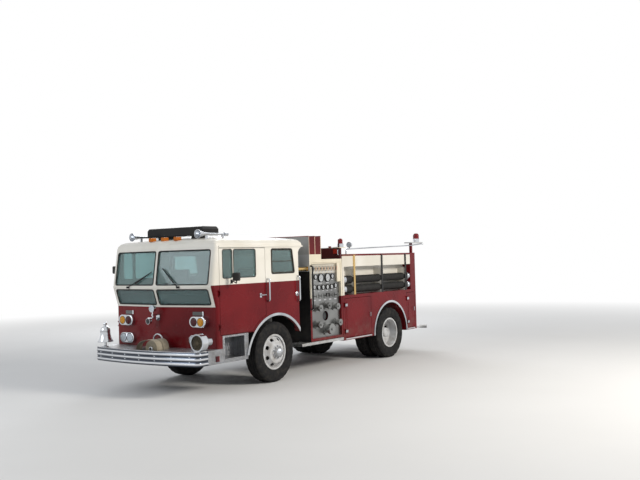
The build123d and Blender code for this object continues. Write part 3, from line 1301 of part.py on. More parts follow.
def all_nodes():
    nodes = {
        "frame_rails": frame_rails(),
        "front_axle_beam": front_axle_beam(),
        "rear_axle_housing": rear_axle_housing(),
        "leaf_springs": leaf_springs(),
        "powertrain": powertrain(),
        "exhaust_system": exhaust_system(),
        "tanks": tanks(),
        "front_bumper": front_bumper(),
        "bumper_deck": bumper_deck(),
        "cab_steps": cab_steps(),
        "cab_body": cab_body(),
        "cab_roof": cab_roof(),
        "cab_glass": cab_glass(),
        "cab_tub": cab_tub(),
        "engine_cover": engine_cover(),
        "dashboard": dashboard(),
        "cab_seats": cab_seats(),
        "arch_trim": arch_trim(),
        "pump_module": pump_module(),
        "pump_panels": pump_panels(),
        "crosslay_bed": crosslay_bed(),
        "hose_body": hose_body(),
        "lower_body": lower_body(),
        "step_boards": step_boards(),
        "grab_rails": grab_rails(),
        "light_bar": loose(light_bar(), *marker_lamps()),
        "air_horns": air_horns(),
        "siren": siren(),
        "bell": bell(),
        "lamp_housings": lamp_housings(),
        "clear_lenses": clear_lenses(),
        "coloured_lenses": coloured_lenses(),
        "wipers": wipers(),
        "hose_roll": hose_roll(),
        "hose_tail": hose_tail(),
        "hose_coupling": hose_coupling(),
        "suction_hoses": suction_hoses(),
        "ladder": ladder(),
        "tie_rod": tie_rod(),
    }
    for side, name in ((1, "left"), (-1, "right")):
        turn = (lambda shape: shape) if side > 0 else mirrored
        nodes["knuckle_" + name] = turn(knuckle())
        nodes["door_" + name] = turn(door())
        nodes["door_glass_" + name] = turn(door_glass())
        nodes["door_fittings_" + name] = turn(door_fittings(name))
        nodes["tyre_front_" + name] = wheel_place(tyre(), FRONT_WHEEL_X, FRONT_AXLE_Y, side)
        nodes["rim_front_" + name] = wheel_place(rim_front(), FRONT_WHEEL_X, FRONT_AXLE_Y, side)
        nodes["tyres_rear_" + name] = wheel_place(tyres_rear(), REAR_WHEEL_X, REAR_AXLE_Y, side)
        nodes["rims_rear_" + name] = wheel_place(rims_rear(), REAR_WHEEL_X, REAR_AXLE_Y, side)
        for locker, y0, y1 in LOCKERS:
            nodes["locker_door_" + locker + "_" + name] = turn(locker_door(y0, y1))
    return nodes


os.makedirs("parts", exist_ok=True)
for name, shape in all_nodes().items():
    export_step(place(shape), "parts/" + name + ".step")
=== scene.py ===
import math
from itertools import product

import bmesh
import bpy
from mathutils import Matrix, Vector
from mathutils.bvhtree import BVHTree


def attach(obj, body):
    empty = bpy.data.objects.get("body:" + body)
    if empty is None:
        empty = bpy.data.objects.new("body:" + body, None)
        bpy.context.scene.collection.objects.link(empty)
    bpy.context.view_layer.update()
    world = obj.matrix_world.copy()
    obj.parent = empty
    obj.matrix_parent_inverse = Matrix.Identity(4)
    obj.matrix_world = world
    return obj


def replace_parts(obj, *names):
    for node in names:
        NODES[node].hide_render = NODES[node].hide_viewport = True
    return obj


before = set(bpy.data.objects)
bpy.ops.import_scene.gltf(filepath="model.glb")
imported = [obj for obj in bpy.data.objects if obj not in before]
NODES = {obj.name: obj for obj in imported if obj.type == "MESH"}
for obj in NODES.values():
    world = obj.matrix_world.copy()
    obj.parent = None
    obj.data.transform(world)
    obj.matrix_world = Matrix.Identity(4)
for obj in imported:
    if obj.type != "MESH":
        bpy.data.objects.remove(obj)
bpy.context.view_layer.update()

# Looks of a cab-forward pumping fire engine, in metres, +X to its left, -Y forward, +Z up.
# Places along the vehicle are written from the windscreen's top corner line, and at() moves them.

ORIGIN_Y = -3.175
SCENE = bpy.context.scene
SIDES = (("left", 1), ("right", -1))
HALF = 1.2
BODY_HALF = 1.19
PANEL_X = 1.145
BELT_Z = 1.752
TYRE_R = 0.527
FRONT_AXLE = (1.015, 1.51)
REAR_AXLE = (0.885, 5.35)
DUAL_OFFSET = 0.165
NOSE_VEE = 0.128
NOSE = ((0.73, 0.0), (1.4, 0.0), (1.728, -0.1), (2.37, 0.0))

# Paired lamps of the nose as (x, z, lens radius, half the spacing), and the (x, z) of the siren and of
# the round lamp near the middle of the nose
HEADLAMPS = (0.83, 0.864, 0.072, 0.08)
SIGNALS = (0.857, 1.164, 0.068, 0.075)
SIREN_AXIS = (1.17, 0.871)
UNDER_LAMP_AXIS = (-0.092, 1.17)


def at(y):
    return y + ORIGIN_Y


def nose_corner(z):
    """How far back the cab's side corner lies at a height."""
    for (z0, y0), (z1, y1) in zip(NOSE, NOSE[1:]):
        if z <= z1:
            return y0 + (y1 - y0) * (z - z0) / (z1 - z0)
    return NOSE[-1][1]


def nose_y(x, z):
    return nose_corner(z) - NOSE_VEE * (1 - abs(x) / HALF)


# Materials

class Graph:
    """Short forms for making and joining the nodes of a tree."""

    def __init__(self, tree):
        self.tree = tree

    def node(self, kind, inputs, **settings):
        """A new node; each input is given as a value or as the socket that feeds it."""
        made = self.tree.nodes.new(kind)
        for key, value in settings.items():
            setattr(made, key, value)
        for key, value in inputs.items():
            if isinstance(value, bpy.types.NodeSocket):
                self.link(value, made.inputs[key])
            else:
                made.inputs[key].default_value = value
        return made

    def link(self, source, target):
        self.tree.links.new(source, target)

    def math(self, operation, *values):
        return self.node("ShaderNodeMath", dict(enumerate(values)), operation=operation).outputs[0]

    def seen_directly(self):
        """1 for camera, glossy and transmitted rays."""
        path = self.node("ShaderNodeLightPath", {}).outputs
        seen = self.math("MAXIMUM", path["Is Camera Ray"], path["Is Glossy Ray"])
        return self.math("MAXIMUM", seen, path["Is Transmission Ray"])

    def switch(self, factor, first, second, output):
        """Shows one shader node where the factor is 0 and another where it is 1."""
        sources = {0: factor, 1: first.outputs[0], 2: second.outputs[0]}
        joined = self.node("ShaderNodeMixShader", sources)
        self.link(joined.outputs[0], self.tree.nodes[output].inputs["Surface"])


class Finish(Graph):
    """A new Principled material; what is the same all over is set on its own sockets."""

    def __init__(self, name, rough=0.5, metal=0.0, **fixed):
        self.material = bpy.data.materials.new(name)
        self.material.use_nodes = True
        super().__init__(self.material.node_tree)
        self.shader = self.tree.nodes["Principled BSDF"]
        self.place = self.node("ShaderNodeTexCoord", {}).outputs["Object"]
        steady = {"Roughness": rough, "Metallic": metal, "Specular_IOR_Level": 0.14, **fixed}
        for key, value in steady.items():
            self.shader.inputs[key.replace("_", " ")].default_value = value

    def noise(self, scale, detail=3.0, stretch=None):
        source = self.place
        if stretch:
            source = self.node("ShaderNodeMapping", {"Scale": stretch, "Vector": source}).outputs["Vector"]
        inputs = {"Scale": scale, "Detail": detail, "Vector": source}
        return self.node("ShaderNodeTexNoise", inputs).outputs["Fac"]

    def cells(self):
        """Distances in a fine pattern of cells, as pressed into a lamp's lens."""
        inputs = {"Scale": 90.0, "Vector": self.place}
        return self.node("ShaderNodeTexVoronoi", inputs).outputs["Distance"]

    def axis(self, name):
        return self.node("ShaderNodeSeparateXYZ", {0: self.place}).outputs[name]

    def wave(self, value, pitch, kind="SINE"):
        """A wave that repeats every pitch."""
        return self.math(kind, self.math("MULTIPLY", value, math.tau / pitch))

    def ramp(self, value, low, high, out_low=0.0, out_high=1.0):
        inputs = {"Value": value, "From Min": low, "From Max": high, "To Min": out_low, "To Max": out_high}
        return self.node("ShaderNodeMapRange", inputs).outputs["Result"]

    def mix(self, factor, first, second):
        """Two colours mixed; the node keeps its colour sockets at 6 and 7, and gives the mix at 2."""
        first, second = ((*c, 1.0) if isinstance(c, tuple) else c for c in (first, second))
        return self.node("ShaderNodeMix", {0: factor, 6: first, 7: second}, data_type="RGBA").outputs[2]

    def colour(self, source):
        self.link(source, self.shader.inputs["Base Color"])

    def rough(self, source):
        self.link(source, self.shader.inputs["Roughness"])

    def bump(self, height, strength, distance):
        made = self.node("ShaderNodeBump", {"Strength": strength, "Distance": distance, "Height": height})
        self.link(made.outputs["Normal"], self.shader.inputs["Normal"])

    def inside(self, limits, soft=0.0006):
        """1 within every (axis, low, high); W is distance from the middle, R from a line along Y."""
        total = None
        for name, low, high in limits:
            if name == "R":
                value, low = self.off_axis(*low), None
            else:
                value = self.math("ABSOLUTE", self.axis("X")) if name == "W" else self.axis(name)
            for level, before, after in ((low, 0.0, 1.0), (high, 1.0, 0.0)):
                if level is None:
                    continue
                part = self.ramp(value, level - soft, level + soft, before, after)
                total = part if total is None else self.math("MULTIPLY", total, part)
        return total

    def off_axis(self, x, z):
        """Distance from a line along Y."""
        across = self.math("SUBTRACT", self.axis("X"), x)
        upward = self.math("SUBTRACT", self.axis("Z"), z)
        squares = (self.math("MULTIPLY", across, across), self.math("MULTIPLY", upward, upward))
        return self.math("SQRT", self.math("ADD", *squares))

    def blend(self, factor, first, second):
        """A number between two others; each may be a plain number."""
        kept = self.math("MULTIPLY", self.math("SUBTRACT", 1.0, factor), first)
        return self.math("ADD", kept, self.math("MULTIPLY", factor, second))


RED = (0.15, 0.006, 0.009)
RED_DEEP = (0.11, 0.004, 0.007)
WHITE = (0.76, 0.735, 0.675)
WHITE_WARM = (0.69, 0.66, 0.59)
DUST = (0.19, 0.16, 0.13)
BRIGHT = (0.62, 0.64, 0.67)
BRIGHT_DIM = (0.4, 0.415, 0.44)


def weather(g, colour):
    """Road dust low down, broken by noise, over a paint colour."""
    low = g.ramp(g.axis("Z"), 0.35, 1.1, 0.35, 0.0)
    patch = g.ramp(g.noise(7.0, 5.0), 0.42, 0.75)
    return g.mix(g.math("MULTIPLY", low, patch), colour, DUST)


# Skins for the zones of one node: light colour, dark colour, metal, roughness
SKINS = {
    "red": (RED, RED_DEEP, 0.0, 0.27),
    # Brighter red for the lit tops of the crosslay gates: painted highlight.
    "red_painted_highlight": ((0.26, 0.012, 0.016), (0.18, 0.008, 0.01), 0.0, 0.35),
    "white": (WHITE, WHITE_WARM, 0.0, 0.3),
    "cream": ((0.72, 0.66, 0.53), (0.62, 0.56, 0.44), 0.0, 0.34),
    # Dark red standing for red paint in shade: painted shade.
    "red_painted_shade": ((0.075, 0.012, 0.014), (0.045, 0.006, 0.008), 0.0, 0.42),
    "grey": ((0.44, 0.44, 0.43), (0.31, 0.31, 0.305), 0.0, 0.5),
    "pale_grey": ((0.56, 0.57, 0.58), (0.46, 0.47, 0.48), 0.0, 0.45),
    "tan": ((0.66, 0.5, 0.38), (0.56, 0.42, 0.31), 0.0, 0.38),
    "gold": ((0.72, 0.5, 0.2), (0.56, 0.37, 0.14), 1.0, 0.28),
    "black": ((0.014, 0.014, 0.015), (0.03, 0.029, 0.028), 0.0, 0.4),
    "gloss_black": ((0.01, 0.01, 0.011), (0.02, 0.019, 0.019), 0.0, 0.2),
    "chrome": (BRIGHT, BRIGHT_DIM, 1.0, 0.1),
    "steel": ((0.32, 0.325, 0.32), (0.19, 0.19, 0.186), 1.0, 0.34),
    "plate_grey": ((0.17, 0.168, 0.165), (0.11, 0.11, 0.108), 0.0, 0.5),
    "gate_red": ((0.13, 0.01, 0.012), (0.085, 0.006, 0.008), 0.0, 0.36),
    "bronze": ((0.11, 0.092, 0.062), (0.06, 0.048, 0.034), 0.6, 0.52),
    # Amber lens colour, partly true amber and partly darkened as painted shade.
    "amber_painted_shade": ((0.52, 0.16, 0.02), (0.34, 0.085, 0.01), 0.0, 0.2),
}


def zoned(name, base, zones=(), dusty=False, grain=None):
    """One node's finish: a base skin, and others laid over it where their limits hold."""
    light, dark, metal, rough = SKINS[base]
    g = Finish(name, rough, metal, Coat_Weight=0.05, Coat_Roughness=0.1)
    broad = g.ramp(g.noise(1.7, 2.0), 0.35, 0.65)
    colour = g.mix(broad, light, dark)
    for skin, limits in zones:
        mask = g.inside(limits)
        light, dark, zone_metal, zone_rough = SKINS[skin]
        colour = g.mix(mask, colour, g.mix(broad, light, dark))
        metal = g.blend(mask, metal, zone_metal)
        rough = g.blend(mask, rough, zone_rough)
    g.colour(weather(g, colour) if dusty else colour)
    if zones:
        g.link(metal, g.shader.inputs["Metallic"])
    fine = g.noise(30.0 if grain else 2.5, stretch=grain)
    g.rough(g.math("ADD", rough, g.ramp(fine, 0.3, 0.7, -0.04, 0.04)))
    if grain:
        g.bump(fine, 0.1, 0.0004)
    return g.material


def bright(name, light=BRIGHT, dim=BRIGHT_DIM, rough=(0.06, 0.2)):
    g = Finish(name, 0.15, 1.0)
    g.colour(g.mix(g.ramp(g.noise(4.0, 4.0), 0.45, 0.8), light, dim))
    g.rough(g.ramp(g.noise(40.0, 5.0), 0.3, 0.7, *rough))
    return g.material


def plain(name, light, dark, rough, scale=60.0, bump=0.2, distance=0.0008):
    """A dull surface with a mottled colour and a fine grain."""
    g = Finish(name, rough)
    g.colour(g.mix(g.ramp(g.noise(scale / 4, 4.0), 0.35, 0.7), light, dark))
    g.rough(g.ramp(g.noise(scale, 4.0), 0.3, 0.7, rough - 0.08, rough + 0.1))
    g.bump(g.noise(scale * 4, 2.0), bump, distance)
    return g.material


RIDGE_Z, RIDGE_PITCH = 0.5367, 0.07333
TREAD_PITCH = 0.045
WEAVE_PITCH = 0.004


def chrome_painted_ridge_reflections():
    """Chrome of the rolled bumper with painted reflections: a dark reflection painted in each valley and a
    bright one on each crest.
    """
    g = Finish("chrome_painted_ridge_reflections", 0.12, 1.0)
    ridge_reflections = g.wave(g.math("SUBTRACT", g.axis("Z"), RIDGE_Z), RIDGE_PITCH, "COSINE")
    # Painted reflection: the base colour runs from dark in the valleys to bright on the crests.
    g.colour(g.mix(g.ramp(ridge_reflections, -0.15, 0.9), (0.06, 0.07, 0.09), (0.7, 0.72, 0.75)))
    g.rough(g.ramp(g.noise(40.0, 5.0), 0.3, 0.7, 0.06, 0.2))
    return g.material


def tread_plate(name, light=(0.62, 0.63, 0.64), dark=(0.36, 0.35, 0.33)):
    """Aluminium with a raised diamond tread, on whichever face it lies."""
    g = Finish(name, 0.3, 1.0)
    x, y, z = (g.axis(n) for n in "XYZ")
    across = g.math("ADD", y, g.math("MULTIPLY", x, 0.37))
    upward = g.math("ADD", z, g.math("MULTIPLY", x, 0.93))
    first = g.wave(g.math("ADD", across, upward), TREAD_PITCH)
    second = g.wave(g.math("SUBTRACT", across, upward), TREAD_PITCH)
    studs = g.ramp(g.math("MULTIPLY", first, second), 0.25, 0.75)
    g.bump(studs, 0.55, 0.003)
    g.colour(g.mix(g.ramp(g.noise(6.0, 5.0), 0.35, 0.75), light, dark))
    g.rough(g.ramp(studs, 0.0, 1.0, 0.42, 0.24))
    return g.material


def woven(name, light, dark):
    g = Finish(name, 0.85, Sheen_Weight=0.2)
    x, y, z = (g.axis(n) for n in "XYZ")
    warp = g.wave(g.math("ADD", x, z), WEAVE_PITCH)
    weft = g.wave(g.math("ADD", y, g.math("MULTIPLY", z, 0.6)), WEAVE_PITCH)
    g.colour(g.mix(g.ramp(g.noise(9.0, 5.0), 0.35, 0.75), light, dark))
    g.bump(g.math("MULTIPLY", warp, weft), 0.35, 0.0012)
    return g.material


def tyre_rubber():
    g = Finish("tyre_rubber", 0.75)
    g.colour(g.mix(g.ramp(g.noise(14.0, 6.0), 0.45, 0.8), (0.012, 0.012, 0.013), (0.036, 0.033, 0.029)))
    g.rough(g.ramp(g.noise(45.0, 4.0), 0.3, 0.7, 0.6, 0.9))
    g.bump(g.noise(240.0), 0.25, 0.0008)
    return g.material


def glass(name, tint):
    """Tinted safety glass, see-through but coloured."""
    g = Finish(name, 0.04, Transmission_Weight=0.85, IOR=1.45, Specular_IOR_Level=0.5)
    g.colour(g.mix(g.ramp(g.noise(1.2, 2.0), 0.3, 0.7), tint, tuple(v * 0.82 for v in tint)))
    g.rough(g.ramp(g.noise(12.0, 4.0), 0.4, 0.8, 0.02, 0.09))
    return g.material


def lens(name, light, deep, zones=(), rough=0.12, clear=0.1):
    """Pressed lens glass in two tones, with other tones where their limits hold."""
    g = Finish(name, rough, Coat_Weight=0.25, Transmission_Weight=clear)
    cells = g.cells()
    pattern = g.ramp(cells, 0.2, 0.6)
    colour = g.mix(pattern, light, deep)
    for zone_light, zone_deep, limits in zones:
        colour = g.mix(g.inside(limits), colour, g.mix(pattern, zone_light, zone_deep))
    g.colour(colour)
    g.bump(cells, 0.4, 0.002)
    return g.material


BLACK_GLASS = (0.03, 0.032, 0.036)
UNDER_LAMP = [(BLACK_GLASS, BLACK_GLASS, [("R", UNDER_LAMP_AXIS, 0.06), ("Y", None, at(-0.15))])]
ON_NOSE = ("Y", None, at(0.0))
ON_HOUSE = [("Y", at(3.48), at(3.53)), ("Z", 2.2, 2.33)]
COLOURED = [
    ((0.1, 0.006, 0.012), (0.045, 0.003, 0.006), [ON_NOSE]),
    ((0.8, 0.4, 0.03), (0.52, 0.21, 0.012), [ON_NOSE, ("W", SIGNALS[0], None), ("Z", 1.0, 1.4)]),
    ((0.52, 0.06, 0.03), (0.3, 0.02, 0.012), ON_HOUSE),
]
DOOR_EDGE = [("W", BODY_HALF + 0.0056, None)]

# Each finish's material, by its short name
M = {
    "red": zoned("dark_red_paint", "red", dusty=True),
    "locker_door": zoned("locker_door_paint", "red", [("chrome", DOOR_EDGE)], dusty=True),
    "cream": zoned("cream_paint", "cream"),
    "two_tone": zoned("two_tone_paint", "red", [("white", [("Z", BELT_Z, None)])], dusty=True),
    "blank_grey": zoned("blank_grey_plate", "plate_grey"),
    "black": zoned("black_fitting", "black"),
    "bronze": zoned("siren_bronze", "bronze"),
    "chrome": bright("chrome"),
    "alloy": bright("satin_alloy", (0.62, 0.62, 0.63), (0.45, 0.45, 0.46), (0.3, 0.5)),
    "mirror": bright("mirror_glass", (0.86, 0.88, 0.9), (0.8, 0.82, 0.84), (0.01, 0.04)),
    "chrome_painted_ridge_reflections": chrome_painted_ridge_reflections(),
    "tread_plate": tread_plate("tread_plate"),
    "deck_tread": tread_plate("deck_tread_plate", (0.44, 0.45, 0.47), (0.29, 0.29, 0.29)),
    # Darker copy of the tread plate for the steps in their recessed wells: painted shade.
    "tread_painted_shade": tread_plate("tread_plate_painted_shade", (0.3, 0.31, 0.33), (0.19, 0.19, 0.19)),
    "wheel": plain("silver_wheel_paint", (0.56, 0.57, 0.59), (0.38, 0.37, 0.36), 0.38, 40.0, 0.1),
    "black_steel": plain("black_chassis_paint", (0.02, 0.02, 0.021), (0.06, 0.052, 0.045), 0.6),
    "iron": plain("cast_iron", (0.045, 0.043, 0.041), (0.09, 0.075, 0.06), 0.75, 90.0, 0.5),
    "engine": plain("engine_enamel", (0.07, 0.075, 0.08), (0.035, 0.035, 0.035), 0.5, 50.0, 0.3),
    "pipe": plain("heat_dulled_steel", (0.21, 0.165, 0.13), (0.11, 0.08, 0.065), 0.6, 80.0, 0.3),
    "trim": plain("grey_cab_lining", (0.11, 0.11, 0.112), (0.08, 0.08, 0.08), 0.7, 160.0, 0.35),
    "plastic": plain("dark_moulding", (0.018, 0.018, 0.019), (0.03, 0.03, 0.03), 0.5, 200.0, 0.25),
    "gloss_black": plain("gloss_black", (0.01, 0.01, 0.011), (0.022, 0.02, 0.02), 0.2, 60.0, 0.05),
    "rubber": plain("black_rubber", (0.014, 0.014, 0.014), (0.035, 0.034, 0.033), 0.65, 120.0, 0.3),
    "vinyl": plain("black_vinyl", (0.02, 0.02, 0.021), (0.032, 0.031, 0.03), 0.45, 300.0, 0.45, 0.0012),
    "dial": plain("dial_face", (0.48, 0.5, 0.52), (0.36, 0.38, 0.4), 0.4, 80.0, 0.02),
    "tyre": tyre_rubber(),
    "hose": woven("woven_hose_jacket", (0.36, 0.315, 0.235), (0.215, 0.185, 0.14)),
    "glass": glass("tinted_glass", (0.42, 0.62, 0.62)),
    "clear": lens("clear_lens_glass", (0.78, 0.83, 0.88), (0.52, 0.58, 0.64), UNDER_LAMP),
    "red_lens": lens("red_lens", (0.42, 0.01, 0.014), (0.2, 0.004, 0.006)),
    "coloured": lens("coloured_lenses", (0.3, 0.01, 0.014), (0.12, 0.004, 0.006), COLOURED, 0.14, 0.05),
}


# The nodes of each finish; a * stands for both sides
FINISH = {
    "chrome_painted_ridge_reflections": "front_bumper",
    "chrome": "arch_trim air_horns bell lamp_housings hose_coupling",
    "tread_plate": "step_boards",
    "deck_tread": "bumper_deck",
    "tread_painted_shade": "cab_steps",
    "red": "cab_body lower_body",
    "locker_door": "locker_door_front_* locker_door_rear_*",
    "two_tone": "door_*",
    "glass": "cab_glass door_glass_*",
    "clear": "clear_lenses",
    "coloured": "coloured_lenses",
    "trim": "cab_tub engine_cover",
    "plastic": "dashboard",
    "vinyl": "cab_seats",
    "hose": "hose_roll hose_tail",
    "rubber": "suction_hoses",
    "alloy": "ladder",
    "gloss_black": "wipers",
    "black_steel": "frame_rails leaf_springs tanks",
    "iron": "front_axle_beam rear_axle_housing tie_rod knuckle_*",
    "engine": "powertrain",
    "pipe": "exhaust_system",
    "tyre": "tyre_front_* tyres_rear_*",
    "wheel": "rim_front_* rims_rear_*",
}


def dress(names, material):
    """Gives CAD nodes their material, leaving their meshes alone."""
    for node_name in names.split():
        sides = ("left", "right") if "*" in node_name else ("",)
        for side in sides:
            for holder in NODES[node_name.replace("*", side)].material_slots:
                holder.link = "OBJECT"
                holder.material = material


for finish, names in FINISH.items():
    dress(names, M[finish])

# Nodes with more than one finish: base skin, then the zones laid over it. The limits follow the edges
# of the node's own panels, rails and plates.
HOUSE_FRONT = ("Y", None, at(2.5115))
GATE_FACE = ("W", 1.1895, None)
POST_FACE = ("W", 1.1905, None)
PANEL_RAIL = [("W", 1.14, None), ("Y", at(2.45), at(2.75)), ("Z", 1.2, 2.15)]
BRUSHED = (1.0, 30.0, 1.0)
ZONED = {
    "cab_roof": ("white", [("red", [("Z", None, BELT_Z), ("W", 1.165, None)])]),
    "pump_module": ("cream", [
        ("red", [("Z", None, 1.4)]),
        # Painted shade on the house's forward face: pale grey above z 1.9, black below it.
        ("pale_grey", [HOUSE_FRONT, ("Z", 1.9, None)]),
        ("black", [HOUSE_FRONT, ("Z", None, 1.9)]),
        ("gold", [("W", 1.08, 1.16), ("Y", at(2.16), at(2.512)), ("Z", 1.91, 1.99)]),
        # The dark red wall behind the crosslays is painted shade on red paint.
        ("red_painted_shade", [("Y", at(3.509), at(3.571)), ("Z", 2.122, 2.332)]),
        ("cream", [("Y", at(3.499), None), ("Z", 2.3325, None)])]),
    # The crosslay bed's dark red base is painted shade in its hollows.
    "crosslay_bed": ("red_painted_shade", [
        # Grey on the bed's forward face is painted shade.
        ("grey", [HOUSE_FRONT]),
        ("gate_red", [GATE_FACE]),
        ("tan", [GATE_FACE, ("Y", None, at(2.524))]),
        ("tan", [GATE_FACE, ("Y", at(2.692), at(2.708))]),
        ("tan", [GATE_FACE, ("Y", at(2.876), None)]),
        # Brighter red on the tops is painted highlight.
        ("red_painted_highlight", [("Z", 2.5475, None)])]),
    "hose_body": ("white", [
        ("grey", [("W", None, 0.966), ("Z", 1.43, 2.3)]),
        ("red", [("Z", 2.1705, 2.3)]),
        ("pale_grey", [("Z", 2.419, None)]),
        ("red", [("Y", at(6.249), None), ("Z", None, 2.419)]),
        ("black", [POST_FACE]),
        ("gold", [POST_FACE, ("Y", None, at(4.1))])]),
    # The light bar's front lenses are amber darkened as painted shade.
    "light_bar": ("gloss_black", [("amber_painted_shade", [("Y", None, at(0.1))])]),
    "siren": ("chrome", [("bronze", [("R", SIREN_AXIS, 0.117), ("Y", None, at(-0.4195))])]),
    "door_fittings_*": ("chrome", [("black", [("Z", 1.75, None)])]),
    "pump_panels": ("steel", [
        ("cream", [("W", None, 1.1452), ("Z", 1.855, None)]),
        # The black band over the panel's outer face below the lever row is painted shadow on the steel.
        ("black", [("W", 1.1455, None), ("Z", 1.53, 1.86)]),
        ("tan", [("W", 1.194, None), ("Z", 1.86, 2.05)])]),
    # Black on the pump panel's handrail is painted shade on chrome.
    "grab_rails": ("chrome", [("black", PANEL_RAIL)]),
}
for node_name, (base, zones) in ZONED.items():
    dusty = node_name in ("pump_module", "hose_body")
    grain = BRUSHED if node_name == "pump_panels" else None
    dress(node_name, zoned(node_name.replace("*", "sides") + "_finish", base, zones, dusty, grain))


# Piece makers

SHARP_EDGE = math.radians(38)


def show(name, data):
    """A new object of a mesh, curve, camera or lamp, in the scene."""
    thing = bpy.data.objects.new(name, data)
    SCENE.collection.objects.link(thing)
    return thing


def add_piece(name, verts, faces, finish, body="chassis", smooth=True):
    mesh = bpy.data.meshes.new(name)
    mesh.from_pydata([tuple(v) for v in verts], [], faces)
    mesh.update()
    thing = show(name, mesh)
    mesh.materials.append(M[finish])
    cleaned = bmesh.new()
    cleaned.from_mesh(mesh)
    bmesh.ops.recalc_face_normals(cleaned, faces=cleaned.faces)
    cleaned.to_mesh(mesh)
    cleaned.free()
    if smooth:
        mesh.shade_smooth()
        mesh.set_sharp_from_angle(angle=SHARP_EDGE)
    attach(thing, body)
    return thing


def band(rows, per_row, wrapped=False):
    """Faces that join each ring of points to the next, and if wrapped the last to the first."""
    faces = []
    for row in range(rows if wrapped else rows - 1):
        a, b = row * per_row, (row + 1) % rows * per_row
        for k in range(per_row):
            n = (k + 1) % per_row
            faces.append((a + k, a + n, b + n, b + k))
    return faces


BOX_FACES = ((0, 1, 3, 2), (4, 6, 7, 5), (0, 4, 5, 1), (2, 3, 7, 6), (0, 2, 6, 4), (1, 5, 7, 3))


class Heap:
    """Collects many small shapes into one mesh."""

    def __init__(self):
        self.verts = []
        self.faces = []

    def add(self, verts, faces):
        start = len(self.verts)
        self.verts += [tuple(v) for v in verts]
        self.faces += [tuple(start + i for i in face) for face in faces]

    def box(self, centre, size, turn=None):
        corners = []
        for shares in product((-0.5, 0.5), repeat=3):
            point = Vector([share * side for share, side in zip(shares, size)])
            if turn:
                point = turn @ point
            corners.append(point + Vector(centre))
        self.add(corners, BOX_FACES)

    def lathe(self, profile, centre, axis, count=24):
        """Turns (along, radius) points about an axis line through a centre."""
        axis = Vector(axis).normalized()
        side = axis.orthogonal().normalized()
        other = axis.cross(side)
        verts = []
        for along, radius in profile:
            for step in range(count):
                angle = math.tau * step / count
                spoke = side * math.cos(angle) + other * math.sin(angle)
                verts.append(Vector(centre) + axis * along + spoke * radius)
        last = len(verts) - count
        ends = [tuple(range(count)), tuple(range(last + count - 1, last - 1, -1))]
        self.add(verts, band(len(profile), count) + ends)

    def lugs(self, centre, radius, count, shift, size):
        """Blocks round a coupling whose axis is along Y."""
        for step in range(count):
            angle = math.tau * step / count + shift
            spot = Vector(centre) + Vector((radius * math.cos(angle), 0, radius * math.sin(angle)))
            self.box(spot, size, Matrix.Rotation(-angle, 3, "Y"))

    def piece(self, name, finish, slot, body="chassis"):
        return add_piece(name, self.verts, self.faces, finish, body)

    def block(self, name, finish, slot, body="chassis", edge=0.004, segments=2):
        """Flat-sided shapes, as one piece with its edges taken off."""
        made = add_piece(name, self.verts, self.faces, finish, body, False)
        if edge:
            bevel = made.modifiers.new("edge", "BEVEL")
            bevel.width = edge
            bevel.segments = segments
            bevel.limit_method = "ANGLE"
        return made


def new_curve(name, points, kind):
    curve = bpy.data.curves.new(name, "CURVE")
    curve.dimensions = "3D"
    spline = curve.splines.new(kind)
    spline.points.add(len(points) - 1)
    for target, point in zip(spline.points, points):
        target.co = (*point, 1.0)
    return curve, spline


def tube_loop(name, points, radius, finish, body="chassis", resolution=3):
    """A round bar along a closed line of points."""
    curve, spline = new_curve(name, points, "POLY")
    curve.bevel_depth = radius
    curve.bevel_resolution = resolution
    spline.use_cyclic_u = True
    thing = show(name, curve)
    curve.materials.append(M[finish])
    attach(thing, body)


def facing_ring(x, y, z, radius, count):
    """Points round a circle that faces forward."""
    angles = [math.tau * step / count for step in range(count)]
    return [(x + radius * math.cos(angle), y, z + radius * math.sin(angle)) for angle in angles]


def rounded_loop(corners, radius, steps=5):
    """Points (a, b) round a polygon of such corners, with the corners rounded."""
    points = []
    count = len(corners)
    for index in range(count):
        before, here, after = (Vector((*corners[(index + k) % count], 0.0)) for k in (-1, 0, 1))
        enter = here + (before - here).normalized() * radius
        leave = here + (after - here).normalized() * radius
        for step in range(steps + 1):
            t = step / steps
            point = (1 - t) ** 2 * enter + 2 * t * (1 - t) * here + t ** 2 * leave
            points.append((point.x, point.y))
    return points


# Camera

CAMERA_PLACE = (10.2183, -9.6361, 2.1359)
CAMERA_LENS = 46.05
CAMERA_RIGHT = (0.81009984, 0.5856455, -0.02752464)
CAMERA_DOWN = (-0.03549943, 0.00213586, -0.99936741)
CAMERA_FORWARD = (-0.58521624, 0.81056449, 0.02252034)


def make_camera():
    """The photograph's viewpoint, solved from the cab's edges."""
    data = bpy.data.cameras.new("photo_camera")
    data.lens = CAMERA_LENS
    data.sensor_width = 36.0
    data.sensor_fit = "HORIZONTAL"
    data.clip_end = 400.0
    camera = show("photo_camera", data)
    x, y, z = CAMERA_PLACE
    rows = Matrix((CAMERA_RIGHT, [-v for v in CAMERA_DOWN], [-v for v in CAMERA_FORWARD]))
    camera.matrix_world = Matrix.Translation((x, at(y), z)) @ rows.transposed().to_4x4()
    SCENE.camera = camera


make_camera()


# Flat hoses rolled in the bumper tray; each is one length of woven hose

HOSE_WIDE, HOSE_THICK, HOSE_LENGTH = 0.125, 0.0032, 15.2
ROLL_X, ROLL_INNER = 0.215, 0.042
FRONT_ROLL = {"y": -0.4525, "z": 0.7503, "outer": 0.138, "turns": 25.6}
REAR_ROLL = {"y": -0.3205, "z": 0.7563, "outer": 0.1443, "turns": 25.9}
COIL_STEPS = 16


